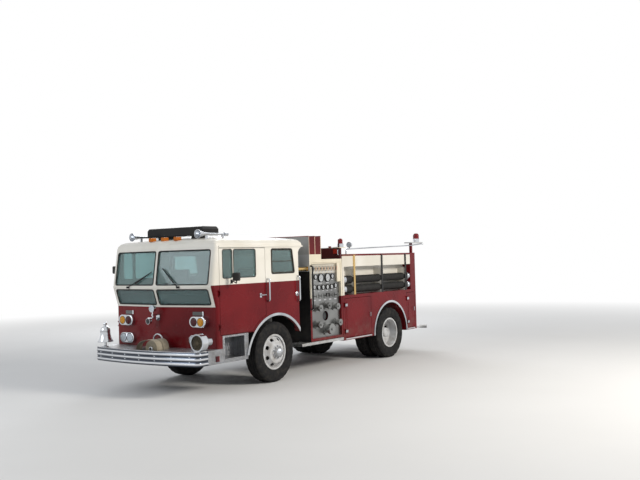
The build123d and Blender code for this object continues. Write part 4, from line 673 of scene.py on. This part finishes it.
def coil(roll, end_angle):
    """Control points (x, z) of a coil that winds outwards and ends at an angle."""
    count = round(roll["turns"] * COIL_STEPS)
    points = []
    for step in range(count + 1):
        radius = ROLL_INNER + (roll["outer"] - ROLL_INNER) * step / count
        radius /= math.cos(math.pi / COIL_STEPS)
        angle = end_angle - math.tau * (count - step) / COIL_STEPS
        points.append((ROLL_X + radius * math.cos(angle), roll["z"] + radius * math.sin(angle)))
    return points


def flowing(points):
    """Points along the smooth line of some control points."""
    curve, spline = new_curve("line", points, "NURBS")
    curve.resolution_u = 3
    spline.order_u = 3
    spline.use_endpoint_u = True
    holder = bpy.data.objects.new("line", curve)
    mesh = bpy.data.meshes.new_from_object(holder)
    found = [vertex.co.copy() for vertex in mesh.vertices]
    bpy.data.objects.remove(holder)
    bpy.data.curves.remove(curve)
    bpy.data.meshes.remove(mesh)
    return found


HOSE_SECTION = ((-0.5, 0.0), (-0.485, -0.5), (0.485, -0.5), (0.5, 0.0), (0.485, 0.5), (-0.485, 0.5))

# The free end is gathered into its coupling over this length, within the last points of the line
GATHER, LAST_POINTS = 0.07, 12


def flat_hose(name, middle_y, points, gathered_end):
    """A flat woven hose along (x, z) points, with its width along Y."""
    line = flowing([(x, at(middle_y), z) for x, z in points])
    verts = []
    for index, point in enumerate(line):
        before, after = line[max(index - 1, 0)], line[min(index + 1, len(line) - 1)]
        run = (after - before).normalized()
        out = Vector((run.z, 0.0, -run.x))
        left = (line[-1] - point).length if index > len(line) - LAST_POINTS else 1.0
        pinch = max(0.0, 1.0 - left / GATHER) if gathered_end else 0.0
        wide, thick = HOSE_WIDE * (1.0 - 0.55 * pinch), HOSE_THICK + 0.03 * pinch
        for across, deep in HOSE_SECTION:
            verts.append(point + Vector((0.0, across * wide, 0.0)) + out * deep * thick)
    corners = range(len(HOSE_SECTION))
    ends = [tuple(reversed(corners)), tuple(len(verts) - len(corners) + k for k in corners)]
    made = add_piece(name, verts, band(len(line), len(corners)) + ends, "hose")
    return made


TAIL = [(0.13, 0.8915), (0.039, 0.884), (-0.043, 0.8615), (-0.105, 0.8265), (-0.136, 0.777), (-0.146, 0.715),
        (-0.137, 0.658), (-0.106, 0.621), (-0.04, 0.618), (0.01, 0.645), (0.026, 0.647)]
EYE_SHELL = [(-0.09, 0.024), (-0.03, 0.026), (-0.004, 0.03), (-0.001, 0.036), (0.003, 0.038), (0.013, 0.038),
             (0.017, 0.0355), (0.018, 0.029), (0.006, 0.0275), (0.006, 0.0)]
EYE_SEAL = [(0.004, 0.0272), (0.009, 0.0272), (0.009, 0.02), (0.0068, 0.019), (0.0068, 0.0)]
END_SHELL = [(0.0, 0.026), (0.002, 0.03), (0.02, 0.03), (0.024, 0.036), (0.052, 0.036), (0.056, 0.032),
             (0.065, 0.031), (0.065, 0.025), (0.05, 0.024), (0.05, 0.0)]


def make_hoses():
    front = coil(FRONT_ROLL, math.pi / 2) + TAIL
    made = flat_hose("hose_front", FRONT_ROLL["y"], front, True)
    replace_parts(made, "hose_roll", "hose_tail")
    made = flat_hose("hose_rear", REAR_ROLL["y"], coil(REAR_ROLL, -math.pi / 2), False)
    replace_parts(made, "hose_roll")
    shell, seal = Heap(), Heap()
    eye = (ROLL_X, at(FRONT_ROLL["y"] - HOSE_WIDE / 2), FRONT_ROLL["z"])
    shell.lathe(EYE_SHELL, eye, (0, -1, 0), 36)
    shell.lugs((eye[0], eye[1] - 0.008, eye[2]), 0.04, 2, 0.6, (0.012, 0.01, 0.014))
    seal.lathe(EYE_SEAL, eye, (0, -1, 0), 36)
    shell.lathe(END_SHELL, (0.018, at(FRONT_ROLL["y"]), 0.647), (1, 0, 0), 36)
    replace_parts(shell.piece("hose_couplings", "chrome", "chrome"), "hose_coupling")
    seal.piece("hose_coupling_seal", "rubber", "black_rubber")


make_hoses()


# Tyres: profile of (across, radius) from one bead over the tread to the other

TYRE_SIDE = [(0.101, 0.296), (0.104, 0.318), (0.118, 0.334), (0.121, 0.338), (0.124, 0.336), (0.133, 0.372),
             (0.1385, 0.405), (0.1385, 0.43), (0.134, 0.462), (0.129, 0.486), (0.13, 0.49), (0.124, 0.502)]
GROOVES = (0.078, 0.027, -0.027, -0.078)
TREAD_STEPS = 120


def tyre_profile():
    outer = TYRE_SIDE + [(0.113, 0.5215)]
    tread = []
    for groove in GROOVES:
        tread += [(groove + 0.009, 0.5262), (groove + 0.006, 0.514)]
        tread += [(groove - 0.006, 0.514), (groove - 0.009, 0.5262)]
    return outer + tread + [(-x, r) for x, r in reversed(outer)]


def tyre_mesh(x, y, lugged):
    """A tyre with bead, side ribs, tread grooves and cuts over the shoulders."""
    profile = tyre_profile()
    cut_from, cut_deep = (0.034, 0.01) if lugged else (0.09, 0.005)
    verts = []
    for step in range(TREAD_STEPS):
        angle = math.tau * step / TREAD_STEPS
        cut = step % 6 in (0, 1) if lugged else step % 4 == 0
        for across, radius in profile:
            if cut and abs(across) > cut_from and radius > 0.5:
                radius -= cut_deep
            verts.append((x + across, at(y) + radius * math.cos(angle), TYRE_R + radius * math.sin(angle)))
    return verts, band(TREAD_STEPS, len(profile), True)


def make_tyres():
    for name, sign in SIDES:
        x, y = FRONT_AXLE
        verts, faces = tyre_mesh(sign * x, y, False)
        made = add_piece("dressed_tyre_front_" + name, verts, faces, "tyre", "front_wheel_" + name)
        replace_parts(made, "tyre_front_" + name)
        x, y = REAR_AXLE
        heap = Heap()
        for offset in (-DUAL_OFFSET, DUAL_OFFSET):
            heap.add(*tyre_mesh(sign * x + offset, y, True))
        made = heap.piece("dressed_tyres_rear_" + name, "tyre", "tyre", "rear_wheels_" + name)
        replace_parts(made, "tyres_rear_" + name)


make_tyres()


# Wheel nuts and hub caps, as (along, radius) profiles

FRONT_NUT = [(0, 0.017), (0.018, 0.017), (0.024, 0.012), (0.034, 0.009), (0.034, 0.0)]
REAR_NUT = [(0, 0.017), (0.022, 0.017), (0.03, 0.01), (0.04, 0.009), (0.04, 0.0)]
HUB_BOLT = [(0, 0.009), (0.011, 0.009), (0.011, 0.0)]
HUB_CAP = [(0.0, 0.08), (0.012, 0.084), (0.03, 0.08), (0.05, 0.06), (0.058, 0.03), (0.06, 0.0)]


def bolt_circle(heap, profile, count, shift, radius, sign, x, y):
    """Nuts or bolts in a circle on the outer face of a wheel."""
    for step in range(count):
        angle = math.tau * (step + shift) / count
        centre = (sign * x, at(y) + radius * math.cos(angle), TYRE_R + radius * math.sin(angle))
        heap.lathe(profile, centre, (sign, 0, 0), 6)


def make_wheel_fittings():
    for name, sign in SIDES:
        x, y = FRONT_AXLE
        heap = Heap()
        bolt_circle(heap, FRONT_NUT, 10, 0.5, 0.1045, sign, x + 0.173, y)
        heap.lathe(HUB_CAP, (sign * (x + 0.205), at(y), TYRE_R), (sign, 0, 0), 32)
        heap.piece("front_wheel_nuts_" + name, "chrome", "chrome", "front_wheel_" + name)
        x, y = REAR_AXLE
        heap = Heap()
        bolt_circle(heap, REAR_NUT, 10, 0.5, 0.115, sign, x + 0.016, y)
        bolt_circle(heap, HUB_BOLT, 8, 0.0, 0.062, sign, x + 0.187, y)
        heap.piece("rear_wheel_nuts_" + name, "alloy", "wheel_paint", "rear_wheels_" + name)


make_wheel_fittings()


# Rubber glazing strips

UPPER_PANE = ((0.035, 1.768), (1.105, 1.768), (1.105, 2.325), (0.035, 2.325))
LOWER_PANE = ((0.035, 1.44), (1.095, 1.44), (1.095, 1.688), (0.035, 1.688))
VENT_PANE = ((0.147, 1.857), (0.38, 1.857), (0.38, 2.325), (0.147, 2.325))
DOOR_PANE = ((0.412, 1.857), (0.97, 1.857), (0.97, 2.325), (0.412, 2.325))
REAR_PANE = ((1.394, 1.896), (2.04, 1.896), (1.974, 2.325), (1.394, 2.325))
PANE_CORNER = 0.04
STRIP_R = 0.01
DOOR_STRIP_R = 0.006


def make_glazing():
    for name, sign in SIDES:
        for label, pane in (("upper", UPPER_PANE), ("lower", LOWER_PANE)):
            points = [(sign * x, at(nose_y(x, z)) - 0.001, z) for x, z in rounded_loop(pane, PANE_CORNER)]
            tube_loop("windscreen_strip_" + label + "_" + name, points, STRIP_R, "rubber")
        for label, pane, radius, body in (("rear_window_strip_", REAR_PANE, STRIP_R, "chassis"),
                                          ("door_vent_strip_", VENT_PANE, DOOR_STRIP_R, "cab_door_" + name),
                                          ("door_main_strip_", DOOR_PANE, DOOR_STRIP_R, "cab_door_" + name)):
            points = [(sign * (HALF + 0.001), at(y), z) for y, z in rounded_loop(pane, PANE_CORNER)]
            tube_loop(label + name, points, radius, "rubber", body=body)


make_glazing()


# Pump panel dials, label plates and trim

GAUGES = ((2.91, 1.77, 0.084, 0.026), (3.13, 1.77, 0.084, 0.026), (2.74, 1.79, 0.05, 0.022),
          (3.29, 1.79, 0.05, 0.022), (2.7, 1.6, 0.05, 0.022), (2.84, 1.59, 0.05, 0.022),
          (2.98, 1.59, 0.05, 0.022), (3.12, 1.59, 0.05, 0.022), (3.26, 1.59, 0.05, 0.022),
          (3.39, 1.61, 0.05, 0.022))
LEVER_Y = [2.69 + 0.098 * index for index in range(8)]
LOW_LEVER_Y = (2.7, 2.87, 3.04, 3.21, 3.38)
LABEL_X = PANEL_X + 0.001
SCALE_MARKS = 24


def make_dials():
    """White faces in the gauges, with the marks of a scale over 270 degrees and a needle."""
    faces, marks = Heap(), Heap()
    for name, sign in SIDES:
        for y, z, radius, depth in GAUGES:
            centre = Vector((sign * (PANEL_X + depth / 2), at(y), z))
            glass_r = radius - 0.0095
            faces.lathe([(0.0, glass_r), (0.002, glass_r), (0.002, 0.0)], centre, (sign, 0, 0), 32)
            for step in range(SCALE_MARKS + 1):
                angle = math.radians(-45 + 270 * step / SCALE_MARKS)
                length = 0.2 if step % 4 == 0 else 0.1
                spoke = Vector((0, math.cos(angle), math.sin(angle)))
                middle = centre + Vector((sign * 0.0026, 0, 0)) + spoke * radius * (0.82 - length / 2)
                turn = Matrix.Rotation(angle, 3, "X")
                marks.box(middle, (0.0012, radius * length, radius * 0.025), turn)
            turn = Matrix.Rotation(math.radians(215), 3, "X")
            middle = centre + Vector((sign * 0.0035, 0, 0)) + turn @ Vector((0, radius * 0.25, 0))
            marks.box(middle, (0.0015, radius * 0.75, radius * 0.05), turn)
    faces.piece("dial_faces", "dial", "panel_steel")
    marks.piece("dial_marks", "gloss_black", "black_plastic")


def make_panel_trim():
    """Cream post and cap band, blank label plates and the small black box of each pump panel."""
    cream, labels, boxes = Heap(), Heap(), Heap()
    for name, sign in SIDES:
        cream.box((sign * 1.1655, at(3.4645), 1.87), (0.039, 0.107, 0.38))
        cream.box((sign * 1.1635, at(3.04), 2.0455), (0.035, 0.95, 0.023))
        for y in LEVER_Y:
            labels.box((sign * LABEL_X, at(y), 1.878), (0.0018, 0.058, 0.022))
        for y, z, radius, depth in GAUGES:
            labels.box((sign * LABEL_X, at(y), z - radius - 0.016), (0.0018, radius, 0.014))
        for y in LOW_LEVER_Y:
            labels.box((sign * LABEL_X, at(y), 1.352), (0.0018, 0.07, 0.022))
        boxes.box((sign * 1.162, at(3.125), 1.44), (0.033, 0.088, 0.066))
    cream.block("pump_panel_posts", "cream", "white_paint", edge=0.005)
    boxes.block("pump_panel_boxes", "black", "black_plastic", edge=0.005)
    labels.block("pump_panel_labels", "alloy", "panel_steel", edge=0)


make_dials()
make_panel_trim()


# Nose and bumper fittings

BUMPER_R = 6.0664
BUMPER_MID_Y = -0.6 + BUMPER_R
VALLEY_Z = (0.5733, 0.6467)
BOLT_X = (-1.05, -0.7, -0.35, 0.0, 0.35, 0.7, 1.05)
BOLT_DOME = [(-0.002, 0.012), (0.002, 0.012), (0.006, 0.01), (0.009, 0.005), (0.01, 0.0)]
NOSE_PLATE = (0.82, 1.296)


def make_nose_fittings():
    bolts, plates, ends = Heap(), Heap(), Heap()
    for z in VALLEY_Z:
        for x in BOLT_X:
            y = BUMPER_MID_Y - math.sqrt((BUMPER_R - 0.012) ** 2 - x * x)
            bolts.lathe(BOLT_DOME, (x, at(y), z), (0, -1, 0), 16)
    x, z = NOSE_PLATE
    for name, sign in SIDES:
        turn = Matrix.Rotation(math.atan(NOSE_VEE / HALF) * sign, 3, "Z")
        middle = Vector((sign * x, at(nose_y(x, z)) - 0.006, z))
        plates.box(middle, (0.22, 0.012, 0.06), turn)
        ends.box(middle + turn @ Vector((0.104, -0.004, 0.0)), (0.03, 0.012, 0.066), turn)
    bolts.piece("bumper_bolts", "chrome", "chrome")
    plates.block("nose_blank_plates", "blank_grey", "panel_steel")
    ends.block("nose_plate_ends", "chrome", "chrome")


def rim_face(node, x, z, radius):
    """How far forward the rim of a round lens lies, read from its CAD mesh."""
    found = []
    for vertex in NODES[node].data.vertices:
        off = math.hypot(vertex.co.x - x, vertex.co.z - z)
        if 0.85 * radius < off < 1.1 * radius:
            found.append(vertex.co.y)
    return min(found)


def make_lens_seals():
    """Dark seals round the paired lamps of the nose."""
    for label, node, lamps in (("head", "clear_lenses", HEADLAMPS), ("signal", "coloured_lenses", SIGNALS)):
        x, z, radius, spacing = lamps
        for name, sign in SIDES:
            for index, offset in enumerate((-spacing, spacing)):
                centre = sign * (x + offset)
                points = facing_ring(centre, rim_face(node, centre, z, radius), z, radius, 32)
                piece_name = "%s_lens_seal_%s_%d" % (label, name, index)
                tube_loop(piece_name, points, 0.0038, "rubber", resolution=2)


def make_siren_rings():
    x, z = SIREN_AXIS
    for index, radius in enumerate((0.04, 0.072, 0.1)):
        points = facing_ring(x, at(-0.441), z, radius, 36)
        tube_loop("siren_ring_" + str(index), points, 0.0035, "bronze")


SIDE_CAP = [(-0.004, 0.044), (0.006, 0.044), (0.01, 0.04), (0.012, 0.026), (0.02, 0.024), (0.023, 0.018),
            (0.023, 0.0)]
DASH_DIAL = [(-0.003, 0.034), (0.004, 0.034), (0.004, 0.029), (0.001, 0.028), (0.001, 0.0)]
REAR_FRAME = ((1.412, 1.914), (2.022, 1.914), (1.959, 2.307), (1.412, 2.307))
REAR_FRAME_X = 1.1985
MIRRORS = (("left", 1.36, 0.3, 1.878), ("right", -1.36, 0.12, 2.03))


def make_side_fittings():
    """Bars of the rear side windows, round fittings behind them, mirror glass and dash dials."""
    bars, caps, dials = Heap(), Heap(), Heap()
    for name, sign in SIDES:
        bars.box((sign * REAR_FRAME_X, at(1.702), 2.109), (0.011, 0.604, 0.01))
        points = [(sign * REAR_FRAME_X, at(y), z) for y, z in rounded_loop(REAR_FRAME, 0.032)]
        tube_loop("rear_window_frame_" + name, points, 0.005, "bronze")
        caps.lathe(SIDE_CAP, (sign * HALF, at(2.1), 1.513), (sign, 0, 0), 28)
    for x in (0.56, 0.65, 0.74):
        dials.lathe(DASH_DIAL, (x, at(0.3), 1.64), (0, 1, 0), 28)
    bars.block("rear_window_bars", "bronze", "cab_trim", edge=0.003)
    caps.piece("cab_side_fittings", "chrome", "chrome")
    dials.piece("dash_dials", "dial", "dark_plastic")
    for name, x, y, z in MIRRORS:
        plate = Heap()
        plate.box((x, at(y) + 0.0212, z), (0.114, 0.0024, 0.119))
        plate.block("mirror_glass_" + name, "mirror", "chrome", "cab_door_" + name, 0.01, 3)


TAIL_PLATE = (-0.4, 0.8)
REFLECTOR = [(0.0, 0.04), (0.008, 0.04), (0.012, 0.035), (0.012, 0.0)]
RUB_RAILS = ((3.65, 4.59), (6.07, 6.39))


def make_tail_fittings():
    """Blank plate in its holder, reflectors, and rub rails under the lockers."""
    holder, plate, discs, rails = Heap(), Heap(), Heap(), Heap()
    x, z = TAIL_PLATE
    for way in (1, -1):
        holder.box((x, at(6.48), z + way * 0.078), (0.336, 0.02, 0.01))
        holder.box((x + way * 0.163, at(6.48), z), (0.01, 0.02, 0.146))
    plate.box((x, at(6.4755), z), (0.316, 0.006, 0.146))
    for name, sign in SIDES:
        discs.lathe(REFLECTOR, (sign * 1.085, at(6.47), 0.72), (0, 1, 0), 28)
        for y0, y1 in RUB_RAILS:
            rails.box((sign * 1.196, at((y0 + y1) / 2), 0.545), (0.012, y1 - y0, 0.024))
    holder.block("tail_plate_holder", "chrome", "chrome", edge=0)
    plate.block("tail_blank_plate", "blank_grey", "panel_steel", edge=0)
    discs.piece("tail_reflectors", "red_lens", "lens_colour")
    rails.block("locker_rub_rails", "alloy", "ladder_metal")


make_nose_fittings()
make_lens_seals()
make_siren_rings()
make_side_fittings()
make_tail_fittings()


# Hard suction hoses: ribbed rubber with bright couplings

SUCTION_X, SUCTION_Z = 1.1, (1.51, 1.7)
SUCTION_Y, SUCTION_LENGTH, RIB_PITCH = 3.74, 2.404, 0.036
SUCTION_END = [(0.0, 0.07), (0.002, 0.083), (0.03, 0.083), (0.034, 0.078), (0.06, 0.078), (0.064, 0.0855),
               (0.092, 0.0855), (0.096, 0.08), (0.096, 0.062), (0.04, 0.06), (0.04, 0.0)]


def make_suction_hoses():
    ribbed = [(0.0, 0.07)]
    for index in range(int(SUCTION_LENGTH / RIB_PITCH)):
        start = 0.002 + index * RIB_PITCH
        ribbed += [(start, 0.072), (start + 0.01, 0.0775), (start + 0.02, 0.0775), (start + 0.03, 0.072)]
    ribbed.append((SUCTION_LENGTH, 0.07))
    hoses, couplings = Heap(), Heap()
    for z in SUCTION_Z:
        hoses.lathe(ribbed, (SUCTION_X, at(SUCTION_Y), z), (0, 1, 0), 28)
        for y, way in ((SUCTION_Y + 0.003, -1), (SUCTION_Y + 2.402, 1)):
            couplings.lathe(SUCTION_END, (SUCTION_X, at(y), z), (0, way, 0), 32)
            couplings.lugs((SUCTION_X, at(y) + way * 0.078, z), 0.088, 3, 0.5, (0.012, 0.018, 0.012))
    for made in (hoses.piece("ribbed_suction_hoses", "rubber", "black_rubber"),
                 couplings.piece("suction_couplings", "chrome", "chrome")):
        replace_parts(made, "suction_hoses")


make_suction_hoses()


# Seats: each cushion is filled like a bag, fitted to its space, then sewn. A cushion is its name, its
# middle (y, z), its run and depth, the directions of its run and of its face, and its taper.

CUSHION_X, CUSHION_WIDE = 0.84, 0.5
CELL = 0.018
LEAN = math.radians(8.05)
ALONG, UP = (0.0, 1.0, 0.0), (0.0, 0.0, 1.0)
CUSHIONS = (
    ("front_pad", (0.9125, 1.385), (0.445, 0.12), ALONG, UP, 0.0),
    ("front_back", (1.165, 1.728), (0.566, 0.112), (0.0, math.sin(LEAN), math.cos(LEAN)),
     (0.0, -math.cos(LEAN), math.sin(LEAN)), 0.34),
    ("rear_pad", (1.5625, 1.43), (0.435, 0.1), ALONG, UP, 0.0),
    ("rear_back", (1.3077, 1.6705), (0.379, 0.0647), UP, ALONG, 0.0),
)
FILL_FRAMES = 20
PRESSURE = 4.0
LONGEST_STEP = 0.024
CHANNEL_FROM_EDGE, CHANNEL_WIDE, CHANNEL_DEEP = 0.085, 0.008, 0.008
WELT_FROM_EDGE, WELT_R = 0.035, 0.0035


def evaluated(thing):
    """A copy of the mesh as its modifiers leave it."""
    found = thing.evaluated_get(bpy.context.evaluated_depsgraph_get())
    return bpy.data.meshes.new_from_object(found)


def start_bag(name, size, offset):
    """A rounded box of small cells, a little smaller than the cushion."""
    box = bmesh.new()
    bmesh.ops.create_cube(box, size=1.0)
    bmesh.ops.scale(box, vec=[side * 0.9 for side in size], verts=box.verts)
    bmesh.ops.bevel(box, geom=box.edges, offset=min(size) * 0.22, segments=2, affect="EDGES", profile=0.5)
    mesh = bpy.data.meshes.new(name + "_bag")
    box.to_mesh(mesh)
    box.free()
    bag = show(name + "_bag", mesh)
    bag.location = offset
    cells = bag.modifiers.new("cells", "REMESH")
    cells.mode = "VOXEL"
    cells.voxel_size = CELL
    bag.data = evaluated(bag)
    bag.modifiers.clear()
    return bag


def fill_bags(bags):
    """A few frames of cloth under pressure; no point moves more than the longest step."""
    starts = [[vertex.co.copy() for vertex in bag.data.vertices] for bag in bags]
    for bag in bags:
        cloth = bag.modifiers.new("fill", "CLOTH")
        cloth.settings.use_pressure = True
        cloth.settings.uniform_pressure_force = PRESSURE
        cloth.settings.effector_weights.gravity = 0.0
        cloth.point_cache.frame_end = FILL_FRAMES
    for number in range(1, FILL_FRAMES + 1):
        SCENE.frame_set(number)
    for bag, start in zip(bags, starts):
        filled = evaluated(bag)
        moved = [vertex.co.copy() for vertex in filled.vertices]
        bag.modifiers.clear()
        for vertex, before, after in zip(bag.data.vertices, start, moved):
            step = after - before
            if step.length > LONGEST_STEP:
                step = step * (LONGEST_STEP / step.length)
            vertex.co = before + step
    SCENE.frame_set(1)


def sewn(bag, size, taper):
    """The filled bag at its true size, with channels pressed in, and its rim line."""
    bag.modifiers.new("smooth", "SUBSURF")
    mesh = evaluated(bag)
    points = [vertex.co.copy() for vertex in mesh.vertices]
    low = [min(p[k] for p in points) for k in range(3)]
    high = [max(p[k] for p in points) for k in range(3)]
    wide, run = size[0] / 2 - CHANNEL_FROM_EDGE, size[1] / 2
    shaped = []
    for point, vertex in zip(points, mesh.vertices):
        a, b, c = (((point[k] - low[k]) / (high[k] - low[k]) - 0.5) * (size[k] - 0.002) for k in range(3))
        if vertex.normal.z > 0.3:
            offs = [a - wide, a + wide]
            if abs(a) < wide:
                offs += [b + run * 0.5, b, b - run * 0.5]
            seam = max(math.exp(-((off / CHANNEL_WIDE) ** 2)) for off in offs)
            c -= CHANNEL_DEEP * seam * min(1.0, size[2] / 0.1)
        c = c * (1.0 - taper * (b / size[1] + 0.5))
        shaped.append(Vector((a, b, c)))
    faces = [tuple(face.vertices) for face in mesh.polygons]
    tree = BVHTree.FromPolygons(shaped, faces)
    x, y = (side / 2 - WELT_FROM_EDGE for side in size[:2])
    rim = [Vector((*p, 0.3)) for p in rounded_loop(((-x, -y), (x, -y), (x, y), (-x, y)), 0.05, 4)]
    line = []
    for index, p in enumerate(rim):
        after = rim[(index + 1) % len(rim)]
        parts = max(1, round((after - p).length / 0.03))
        for part in range(parts):
            hit = tree.ray_cast(p + (after - p) * part / parts, Vector((0, 0, -1)))[0]
            if hit:
                line.append(hit)
    return shaped, faces, line


def in_cab(points, middle, run, face, sign):
    """A cushion's own points, moved to its place on one side of the cab."""
    centre = Vector((CUSHION_X, at(middle[0]), middle[1]))
    spots = [centre + Vector((p.x, 0.0, 0.0)) + Vector(run) * p.y + Vector(face) * p.z for p in points]
    return [(sign * spot.x, spot.y, spot.z) for spot in spots]


def make_seats():
    bags = []
    for number, (name, middle, size, *rest) in enumerate(CUSHIONS):
        bags.append(start_bag(name, (CUSHION_WIDE, *size), (number * 2.0, 20.0, 1.0)))
    fill_bags(bags)
    for bag, (name, middle, size, run, face, taper) in zip(bags, CUSHIONS):
        shaped, faces, line = sewn(bag, (CUSHION_WIDE, *size), taper)
        bpy.data.objects.remove(bag)
        for side_name, sign in SIDES:
            label = name + "_" + side_name
            cover = in_cab(shaped, middle, run, face, sign)
            made = add_piece("seat_" + label, cover, faces, "vinyl")
            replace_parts(made, "cab_seats")
            welt = in_cab(line, middle, run, face, sign)
            tube_loop("seat_welt_" + label, welt, WELT_R, "vinyl", resolution=2)


make_seats()


# Stage: pale floor that turns white further off, white backdrop, soft lamps

FLOOR_SPAN = 90.0
WHITE_FROM, WHITE_TO = 8.0, 22.0  # distance from the vehicle over which the floor turns white


def make_floor():
    g = Finish("pale_floor", 0.9)
    g.colour(g.mix(g.noise(0.6, 4.0), (0.74, 0.74, 0.74), (0.7, 0.7, 0.7)))
    away = g.node("ShaderNodeVectorMath", {0: g.place}, operation="LENGTH")
    far = g.ramp(away.outputs["Value"], WHITE_FROM, WHITE_TO)
    white = g.node("ShaderNodeEmission", {})
    g.switch(g.math("MULTIPLY", far, g.seen_directly()), g.shader, white, "Material Output")
    mesh = bpy.data.meshes.new("floor")
    s = FLOOR_SPAN
    mesh.from_pydata([(-s, -s, 0), (s, -s, 0), (s, s, 0), (-s, s, 0)], [], [(0, 1, 2, 3)])
    mesh.materials.append(g.material)
    floor = show("floor", mesh)


def make_world():
    world = bpy.data.worlds.new("studio")
    SCENE.world = world
    world.use_nodes = True
    g = Graph(world.node_tree)
    soft = g.tree.nodes["Background"]
    soft.inputs["Color"].default_value = (0.82, 0.84, 0.86, 1.0)
    soft.inputs["Strength"].default_value = 0.5
    white = g.node("ShaderNodeBackground", {"Color": (1.0, 1.0, 1.0, 1.0)})
    g.switch(g.seen_directly(), soft, white, "World Output")


def make_light(name, place, aim, size, watts, colour):
    data = bpy.data.lights.new(name, "AREA")
    data.shape = "DISK"
    data.size = size
    data.energy = watts
    data.color = colour
    lamp = show(name, data)
    lamp.location = place
    lamp.rotation_euler = (Vector(aim) - Vector(place)).to_track_quat("-Z", "Y").to_euler()


make_floor()
make_world()
make_light("key", (14.0, 1.0, 8.0), (0.0, 0.0, 1.2), 4.0, 1650.0, (1.0, 0.95, 0.87))
make_light("front_fill", (-3.0, -12.0, 6.0), (0.0, -2.5, 1.2), 7.0, 360.0, (0.92, 0.96, 1.0))
make_light("rear_fill", (-9.0, 9.0, 7.0), (0.0, 1.0, 1.2), 7.0, 700.0, (0.95, 0.97, 1.0))

SCENE.view_settings.view_transform = "Standard"
